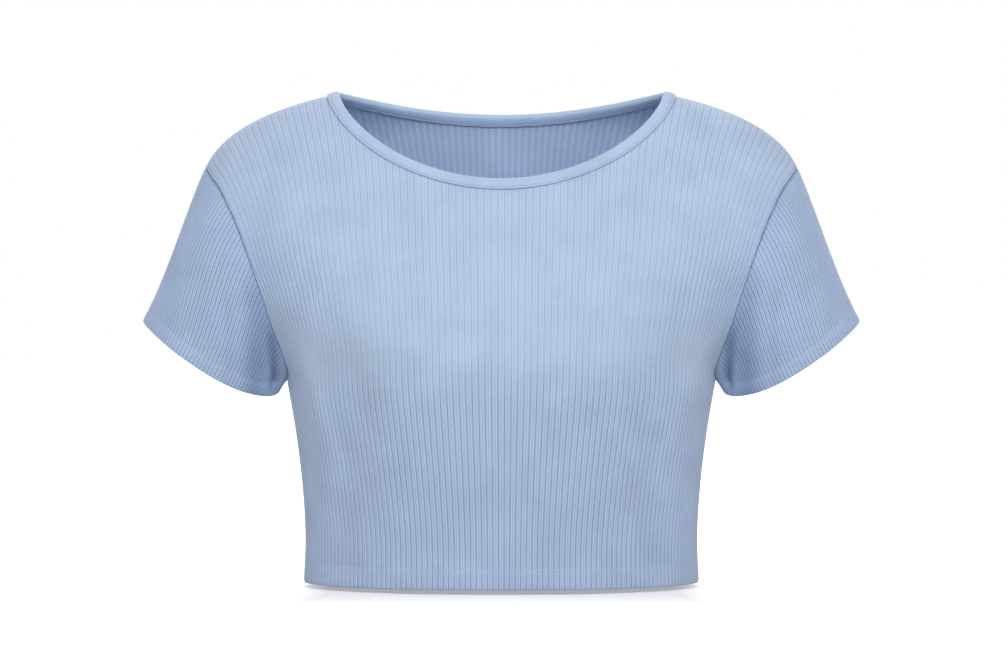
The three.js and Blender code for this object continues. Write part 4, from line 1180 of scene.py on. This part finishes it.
@dataclass
class Thread:
    """Row of stitches sewn along a line."""

    name: str
    length: float = 2.5
    gap: float = 0.45
    radius: float = 0.3
    rise: float = 0.22
    sides: int = 6
    shares: tuple[float, ...] = (0.0, 0.18, 0.5, 0.82, 1.0)
    sizes: tuple[float, ...] = (0.35, 0.95, 1.05, 0.95, 0.35)

    def lay(self, line: np.ndarray, normal: np.ndarray, seed: int,
            slant: float = 0.0) -> tuple[np.ndarray, np.ndarray]:
        """Stitches along a line.

        Args:
            line: Points of the line in millimetres, in order.
            normal: Normal of the cloth at each.
            seed: Number that the small differences start from.
            slant: How far each stitch leans across the line.

        Returns:
            Corners by stitch, ring and side, and the centre of each stitch's two ends.
        """
        gone = np.concatenate([[0], np.cumsum(np.linalg.norm(np.diff(line, axis=0), axis=1))])
        count = int(gone[-1] // (self.length + self.gap))
        pitch = gone[-1] / count
        chance = np.random.default_rng(seed)
        start = (np.arange(count) + 0.04 * chance.standard_normal(count)) * pitch
        share = np.array(self.shares)
        at = start[:, None] + share[None] * (pitch - self.gap)

        def read(values: np.ndarray, place: np.ndarray) -> np.ndarray:
            return np.stack([np.interp(place, gone, values[:, k]) for k in range(3)], axis=-1)

        centre = read(line, at)
        up = unit(read(normal, at))
        tangent = unit(centre[:, -1] - centre[:, 0])[:, None]
        side = unit(np.cross(up, tangent))
        lift = self.rise * np.sin(np.pi * share) - 0.5 * self.radius
        wander = 0.06 * chance.standard_normal((count, 1)) + slant * (share[None] - 0.5)
        centre = centre + up * lift[None, :, None] + side * wander[..., None]
        angle = 2 * np.pi * np.arange(self.sides) / self.sides
        size = self.radius * np.array(self.sizes)
        ring = (side[:, :, None] * np.cos(angle)[None, None, :, None]
                + up[:, :, None] * np.sin(angle)[None, None, :, None])
        corners = centre[:, :, None] + ring * size[None, :, None, None]
        ends = centre[:, [0, -1]]
        return corners, ends

    def sew(self, rows: Sequence[tuple[np.ndarray, np.ndarray]], closed: bool = True,
            slant: float = 0.0) -> bpy.types.Object:
        """Sews rows of stitches and joins them into one piece.

        Args:
            rows: Lines and their normals.
            closed: Whether each line runs back to its start.
            slant: How far each stitch leans across the line.

        Returns:
            The new object.
        """
        points: list[np.ndarray] = []
        faces: list[tuple[int, ...]] = []
        base = 0
        rings, n = len(self.shares), self.sides
        shape = [(r * n + k, r * n + (k + 1) % n, (r + 1) * n + (k + 1) % n, (r + 1) * n + k)
                 for r in range(rings - 1) for k in range(n)]
        low, high = rings * n, rings * n + 1
        shape += [(low, (k + 1) % n, k) for k in range(n)]
        shape += [(high, (rings - 1) * n + k, (rings - 1) * n + (k + 1) % n) for k in range(n)]
        for number, (line, normal) in enumerate(rows):
            if closed:
                line, normal = np.vstack([line, line[:1]]), np.vstack([normal, normal[:1]])
            corners, ends = self.lay(line, normal, number + 11, slant)
            each = np.concatenate([corners.reshape(len(corners), -1, 3), ends], axis=1)
            for k in range(len(each)):
                faces.extend(tuple(v + base + k * each.shape[1] for v in face) for face in shape)
            points.append(each.reshape(-1, 3))
            base += each.shape[0] * each.shape[1]
        mesh = bpy.data.meshes.new(self.name)
        mesh.from_pydata((np.vstack(points) * MM).tolist(), [], faces)
        piece = bpy.data.objects.new(self.name, mesh)
        bpy.context.scene.collection.objects.link(piece)
        bpy.ops.object.select_all(action="DESELECT")
        piece.select_set(True)
        bpy.context.view_layer.objects.active = piece
        bpy.ops.object.mode_set(mode="EDIT")
        bpy.ops.mesh.select_all(action="SELECT")
        bpy.ops.mesh.normals_make_consistent(inside=False)
        bpy.ops.object.mode_set(mode="OBJECT")
        bpy.ops.object.shade_smooth()
        return piece


def hem_line(plan: PanelPlan, above: float, over: float) -> tuple[np.ndarray, np.ndarray]:
    """Line over the hem of a panel.

    Args:
        plan: Outline of the panel.
        above: Height over the hem.
        over: Height over the cloth.

    Returns:
        Points and normals from side to side.
    """
    rib = np.linspace(-SIDE_RIBS + 0.1, SIDE_RIBS - 0.1, 1801)
    along = np.full_like(rib, plan.hem + plan.towards * above)
    normal = SHEET.normals(rib, along)
    wave = CLOTH.rib * 0.55 * rib_profile(rib + 0.5, Skin.OUTER)
    return SHEET.points(rib, along) + normal * (over + wave)[:, None], normal


def cuff_line(sleeve: Sleeve, above: float, over: float) -> tuple[np.ndarray, np.ndarray]:
    """Closed line over the cuff of a sleeve.

    Args:
        sleeve: The sleeve.
        above: Height over the cuff edge.
        over: Height over the cloth.

    Returns:
        Points and normals.
    """
    t = np.linspace(-1, 1, 1601)[:-1]
    length = np.linalg.norm(sleeve.cuff(t) - sleeve.seam(t), axis=-1)
    scale = np.minimum(1.0, 0.72 * length / sleeve.hem_rows[-1])
    q = 1 - above * scale / length
    normal = sleeve.normals(t, q)
    wave = CLOTH.rib * 0.5 * rib_profile(t * SLEEVE_RIBS + 0.5, Skin.OUTER)
    flip = np.array([sleeve.side, 1.0, 1.0])
    return (sleeve.points(t, q) + normal * (over + wave)[:, None]) * flip, normal * flip


@dataclass(frozen=True)
class Knit:
    """Finish of a cloth piece."""

    name: str
    colour: tuple[float, float, float]
    # Colour of the painted shade in rib grooves, seam ditches and the binding's channel and edge.
    painted_groove_shade: tuple[float, float, float]
    # Lightness of the deepest painted fold shade.
    painted_fold_shade_min: float = 0.42
    # Painted bounce light: the inside of the cloth is made lighter and bluer in colour.
    inside_painted_light_gain: tuple[float, float, float] = (1.11, 1.15, 1.18)
    patch: float = 0.05
    loop_size: float = 1.1
    bump: float = 0.22
    rough: float = 0.93
    sheen: float = 0.16

    def make(self) -> bpy.types.Material:
        """Builds the node material.

        Returns:
            The material.
        """
        material = bpy.data.materials.new(self.name)
        material.use_nodes = True
        nodes, links = material.node_tree.nodes, material.node_tree.links
        shader = nodes["Principled BSDF"]
        shader.inputs["Roughness"].default_value = self.rough
        shader.inputs["Specular IOR Level"].default_value = 0.12
        shader.inputs["Sheen Weight"].default_value = self.sheen
        shader.inputs["Sheen Roughness"].default_value = 0.55
        place = nodes.new("ShaderNodeTexCoord")
        # Painted shade that the mesh carries: grooves, ditches and folds darkened in colour where
        # shade falls.
        painted_shade = nodes.new("ShaderNodeAttribute")
        painted_shade.attribute_name = "painted_shade"
        mix = nodes.new("ShaderNodeMix")
        mix.data_type = "RGBA"
        mix.inputs["A"].default_value = (*self.painted_groove_shade, 1.0)
        mix.inputs["B"].default_value = (*self.colour, 1.0)
        links.new(painted_shade.outputs["Fac"], mix.inputs["Factor"])
        # Painted shade in the sleeve fold troughs: values below 0 darken the colour down to
        # painted_fold_shade_min.
        shade = nodes.new("ShaderNodeMapRange")
        shade.inputs["From Min"].default_value = -1.0
        shade.inputs["From Max"].default_value = 0.0
        shade.inputs["To Min"].default_value = self.painted_fold_shade_min
        shade.inputs["To Max"].default_value = 1.0
        links.new(painted_shade.outputs["Fac"], shade.inputs["Value"])
        cloud = nodes.new("ShaderNodeTexNoise")
        cloud.inputs["Scale"].default_value = 38.0
        cloud.inputs["Detail"].default_value = 4.0
        links.new(place.outputs["Object"], cloud.inputs["Vector"])
        mottle = nodes.new("ShaderNodeMapRange")
        mottle.inputs["From Min"].default_value = 0.3
        mottle.inputs["From Max"].default_value = 0.7
        mottle.inputs["To Min"].default_value = 1.0 - self.patch
        mottle.inputs["To Max"].default_value = 1.0 + self.patch
        links.new(cloud.outputs["Fac"], mottle.inputs["Value"])
        loops = nodes.new("ShaderNodeTexVoronoi")
        loops.inputs["Scale"].default_value = 1000.0 / self.loop_size
        links.new(place.outputs["Object"], loops.inputs["Vector"])
        fuzz = nodes.new("ShaderNodeTexNoise")
        fuzz.inputs["Scale"].default_value = 1900.0
        fuzz.inputs["Detail"].default_value = 2.0
        links.new(place.outputs["Object"], fuzz.inputs["Vector"])
        grain = nodes.new("ShaderNodeMapRange")
        grain.inputs["To Min"].default_value = 1.03
        grain.inputs["To Max"].default_value = 0.95
        links.new(loops.outputs["Distance"], grain.inputs["Value"])
        product = self.multiply(nodes, links, shade.outputs[0], mottle.outputs[0])
        product = self.multiply(nodes, links, product, grain.outputs[0])
        tint = nodes.new("ShaderNodeVectorMath")
        tint.operation = "SCALE"
        # Painted bounce light: where the inside shows, the colour is scaled lighter and bluer.
        side = nodes.new("ShaderNodeAttribute")
        side.attribute_name = "inside_painted_light"
        gain = nodes.new("ShaderNodeMix")
        gain.data_type = "VECTOR"
        gain.inputs["A"].default_value = (1.0, 1.0, 1.0)
        gain.inputs["B"].default_value = self.inside_painted_light_gain
        links.new(side.outputs["Fac"], gain.inputs["Factor"])
        sided = nodes.new("ShaderNodeVectorMath")
        sided.operation = "MULTIPLY"
        links.new(mix.outputs["Result"], sided.inputs[0])
        links.new(gain.outputs["Result"], sided.inputs[1])
        links.new(sided.outputs["Vector"], tint.inputs[0])
        links.new(product, tint.inputs["Scale"])
        links.new(tint.outputs["Vector"], shader.inputs["Base Color"])
        height = nodes.new("ShaderNodeMath")
        height.operation = "SUBTRACT"
        links.new(fuzz.outputs["Fac"], height.inputs[0])
        links.new(loops.outputs["Distance"], height.inputs[1])
        bump = nodes.new("ShaderNodeBump")
        bump.inputs["Strength"].default_value = self.bump
        bump.inputs["Distance"].default_value = 0.0003
        links.new(height.outputs[0], bump.inputs["Height"])
        links.new(bump.outputs["Normal"], shader.inputs["Normal"])
        return material

    @staticmethod
    def multiply(nodes: bpy.types.Nodes, links: bpy.types.NodeLinks,
                 first: bpy.types.NodeSocket,
                 second: bpy.types.NodeSocket) -> bpy.types.NodeSocket:
        """Adds a node that multiplies two numbers.

        Args:
            nodes: Nodes of the material.
            links: Links of the material.
            first: One number.
            second: The other.

        Returns:
            The product.
        """
        node = nodes.new("ShaderNodeMath")
        node.operation = "MULTIPLY"
        links.new(first, node.inputs[0])
        links.new(second, node.inputs[1])
        return node.outputs[0]


@dataclass(frozen=True)
class Yarn:
    """Finish of the sewing thread."""

    name: str
    colour: tuple[float, float, float]
    twist: float = 2600.0

    def make(self) -> bpy.types.Material:
        """Builds the node material.

        Returns:
            The material.
        """
        material = bpy.data.materials.new(self.name)
        material.use_nodes = True
        nodes, links = material.node_tree.nodes, material.node_tree.links
        shader = nodes["Principled BSDF"]
        shader.inputs["Roughness"].default_value = 0.75
        shader.inputs["Specular IOR Level"].default_value = 0.25
        shader.inputs["Base Color"].default_value = (*self.colour, 1.0)
        place = nodes.new("ShaderNodeTexCoord")
        wave = nodes.new("ShaderNodeTexWave")
        wave.bands_direction = "DIAGONAL"
        wave.inputs["Scale"].default_value = self.twist
        links.new(place.outputs["Object"], wave.inputs["Vector"])
        bump = nodes.new("ShaderNodeBump")
        bump.inputs["Strength"].default_value = 0.15
        bump.inputs["Distance"].default_value = 0.0002
        links.new(wave.outputs["Fac"], bump.inputs["Height"])
        links.new(bump.outputs["Normal"], shader.inputs["Normal"])
        return material


# Each finish's second colour is its painted shade for grooves and ditches.
BODY_KNIT = Knit("body_knit", (0.48, 0.591, 0.779), (0.24, 0.327, 0.515))
SLEEVE_KNIT = Knit("sleeve_knit", (0.476, 0.597, 0.797), (0.162, 0.248, 0.422))
BINDING_KNIT = Knit("binding_knit", (0.456, 0.578, 0.761), (0.33, 0.44, 0.62), loop_size=0.8)
THREAD = Yarn("thread", (0.44, 0.555, 0.735))


@dataclass(frozen=True)
class Lamp:
    """Soft light of the studio: place and side in metres, power in watts."""

    name: str
    place: tuple[float, float, float]
    size: float
    power: float


@dataclass
class Studio:
    """Pale floor, lights and camera."""

    floor_up: float = -0.3765
    floor_side: float = 60.0
    floor_colour: float = 0.7
    # Painted glow of the floor that only the camera sees, lower near the hem as a painted contact
    # shadow: lightness near and far, and its reach to the sides and to front and back.
    floor_painted_glow: tuple[float, float] = (0.33, 1.0)
    painted_shadow_side: tuple[float, float] = (0.13, 0.19)
    painted_shadow_depth: tuple[float, float] = (0.1, 0.42)
    camera_place: tuple[float, float, float] = (0.002, -2.73, -0.1866)
    lens: float = 128.3
    sky: float = 0.485
    aim: tuple[float, float, float] = (0.0, 0.0, -0.19)
    lamps: tuple[Lamp, ...] = (Lamp("key", (0.16, -2.34, 1.05), 1.2, 34.0),
                               Lamp("back", (-0.15, 1.5, 1.75), 1.4, 26.0))

    def build(self) -> None:
        """Builds the whole studio."""
        bpy.context.scene.view_settings.view_transform = "Standard"
        self.floor()
        for lamp in self.lamps:
            self.light(lamp)
        self.surround()
        self.camera()

    def floor(self) -> None:
        """Plain floor with a painted glow that only the camera sees: lower near the garment as a
        painted contact shadow, full further out.
        """
        bpy.ops.mesh.primitive_plane_add(size=self.floor_side, location=(0, 0, self.floor_up))
        piece = bpy.context.active_object
        piece.name = "floor"
        material = bpy.data.materials.new("floor_paper")
        material.use_nodes = True
        nodes, links = material.node_tree.nodes, material.node_tree.links
        shader = nodes["Principled BSDF"]
        shader.inputs["Base Color"].default_value = (*(self.floor_colour,) * 3, 1.0)
        shader.inputs["Roughness"].default_value = 1.0
        shader.inputs["Specular IOR Level"].default_value = 0.0
        shader.inputs["Emission Color"].default_value = (1.0, 1.0, 1.0, 1.0)
        place = nodes.new("ShaderNodeTexCoord")
        size = nodes.new("ShaderNodeVectorMath")
        size.operation = "ABSOLUTE"
        links.new(place.outputs["Object"], size.inputs[0])
        axes = nodes.new("ShaderNodeSeparateXYZ")
        links.new(size.outputs["Vector"], axes.inputs[0])
        away = nodes.new("ShaderNodeMath")
        away.operation = "MAXIMUM"
        for number, reach in enumerate((self.painted_shadow_side, self.painted_shadow_depth)):
            part = nodes.new("ShaderNodeMapRange")
            part.inputs["From Min"].default_value = reach[0]
            part.inputs["From Max"].default_value = reach[1]
            links.new(axes.outputs[number], part.inputs["Value"])
            links.new(part.outputs["Result"], away.inputs[number])
        painted_glow = nodes.new("ShaderNodeMapRange")
        painted_glow.inputs["To Min"].default_value = self.floor_painted_glow[0]
        painted_glow.inputs["To Max"].default_value = self.floor_painted_glow[1]
        links.new(away.outputs["Value"], painted_glow.inputs["Value"])
        # Only camera rays see the painted glow, so it lights nothing.
        path = nodes.new("ShaderNodeLightPath")
        seen = nodes.new("ShaderNodeMath")
        seen.operation = "MULTIPLY"
        links.new(painted_glow.outputs["Result"], seen.inputs[0])
        links.new(path.outputs["Is Camera Ray"], seen.inputs[1])
        links.new(seen.outputs["Value"], shader.inputs["Emission Strength"])
        piece.data.materials.append(material)

    def light(self, lamp: Lamp) -> None:
        """Soft light that looks at the garment.

        Args:
            lamp: Its name, place, size and power.
        """
        data = bpy.data.lights.new(lamp.name, "AREA")
        data.shape = "SQUARE"
        data.size = lamp.size
        data.energy = lamp.power
        piece = bpy.data.objects.new(lamp.name, data)
        piece.location = lamp.place
        aim = np.array(self.aim) - np.array(lamp.place)
        piece.rotation_euler = (math.atan2(math.hypot(aim[0], aim[1]), -aim[2]), 0.0,
                                math.atan2(-aim[0], aim[1]))
        bpy.context.scene.collection.objects.link(piece)

    def surround(self) -> None:
        """Surround that looks white and lights the garment softly."""
        world = bpy.data.worlds.new("surround")
        world.use_nodes = True
        nodes, links = world.node_tree.nodes, world.node_tree.links
        background = nodes["Background"]
        background.inputs["Color"].default_value = (1.0, 1.0, 1.0, 1.0)
        path = nodes.new("ShaderNodeLightPath")
        strength = nodes.new("ShaderNodeMapRange")
        strength.inputs["To Min"].default_value = self.sky
        strength.inputs["To Max"].default_value = 1.0
        links.new(path.outputs["Is Camera Ray"], strength.inputs["Value"])
        links.new(strength.outputs["Result"], background.inputs["Strength"])
        bpy.context.scene.world = world

    def camera(self) -> None:
        """Level camera in front of the garment."""
        data = bpy.data.cameras.new("camera")
        data.lens = self.lens
        data.sensor_width = 36.0
        camera = bpy.data.objects.new("camera", data)
        camera.location = self.camera_place
        camera.rotation_euler = (math.pi / 2, 0.0, 0.0)
        bpy.context.scene.collection.objects.link(camera)
        bpy.context.scene.camera = camera


@dataclass(frozen=True)
class Cut:
    """Flat cut of a sheet in metres and the slot of its finish."""

    flat: tuple[float, float]
    area: float
    slot: str


def dress(piece: bpy.types.Object, knit: bpy.types.Material, node: str) -> None:
    """Gives a cloth piece its finish and its place in the frame.

    Args:
        piece: The cloth piece.
        knit: Its material.
        node: Solid that it stands for.
    """
    piece.data.materials.append(knit)
    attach(piece, ROOT)
    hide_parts(node)
    LOG.info("%s: %d corners, %d faces", piece.name, len(piece.data.vertices),
             len(piece.data.polygons))


def dress_thread(piece: bpy.types.Object, yarn: bpy.types.Material) -> None:
    """Gives a row of stitches its finish and its place in the frame.

    Args:
        piece: The joined stitches.
        yarn: Their material.
    """
    piece.data.materials.append(yarn)
    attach(piece, ROOT)
    LOG.info("%s: %d faces", piece.name, len(piece.data.polygons))


class CropTop:
    """The whole garment."""

    def __init__(self) -> None:
        self.edge = NeckEdge()
        self.sleeves = {"sleeve_left": Sleeve("knit_sleeve_left", 1.0),
                        "sleeve_right": Sleeve("knit_sleeve_right", -1.0)}
        self.body_knit = BODY_KNIT.make()
        self.sleeve_knit = SLEEVE_KNIT.make()
        self.binding_knit = BINDING_KNIT.make()
        self.thread = THREAD.make()

    def panels(self) -> None:
        """Builds the front and the back with their hem stitches."""
        for node, plan in (("front", FRONT), ("back", BACK)):
            panel = Panel(f"knit_{node}", plan)
            piece = panel.build()
            rows = [hem_line(plan, above, -0.1) for above in panel.stitch_rows]
            sewing = Thread(f"hem_stitches_{node}").sew(rows, closed=False)
            dress_thread(sewing, self.thread)
            dress(piece, self.body_knit, node)

    def arms(self) -> None:
        """Builds the sleeves with their cuff stitches."""
        for node, sleeve in self.sleeves.items():
            piece = sleeve.build()
            rows = [cuff_line(sleeve, above, -0.1) for above in sleeve.stitch_rows]
            sewing = Thread(f"cuff_stitches_{node[7:]}").sew(rows)
            dress_thread(sewing, self.thread)
            dress(piece, self.sleeve_knit, node)

    def neck(self) -> None:
        """Builds the binding with its edge stitches."""
        piece = Binding(self.edge).build()
        outside = (self.edge.place(6.25, 1.72), self.edge.normals())
        sewing = [Thread("binding_stitches_outside", length=2.3, radius=0.26,
                         rise=0.16).sew([outside])]
        inside = (self.edge.place(6.3, -2.85), -self.edge.normals())
        sewing.append(Thread("binding_stitches_inside", length=1.9, gap=0.25, radius=0.42,
                             rise=0.3).sew([inside], slant=0.5))
        for row in sewing:
            dress_thread(row, self.thread)
        dress(piece, self.binding_knit, "neck_binding")


def main() -> None:
    """Builds the garment and the studio."""
    top = CropTop()
    top.panels()
    top.arms()
    top.neck()
    Studio().build()


if __name__ == "__main__":
    main()
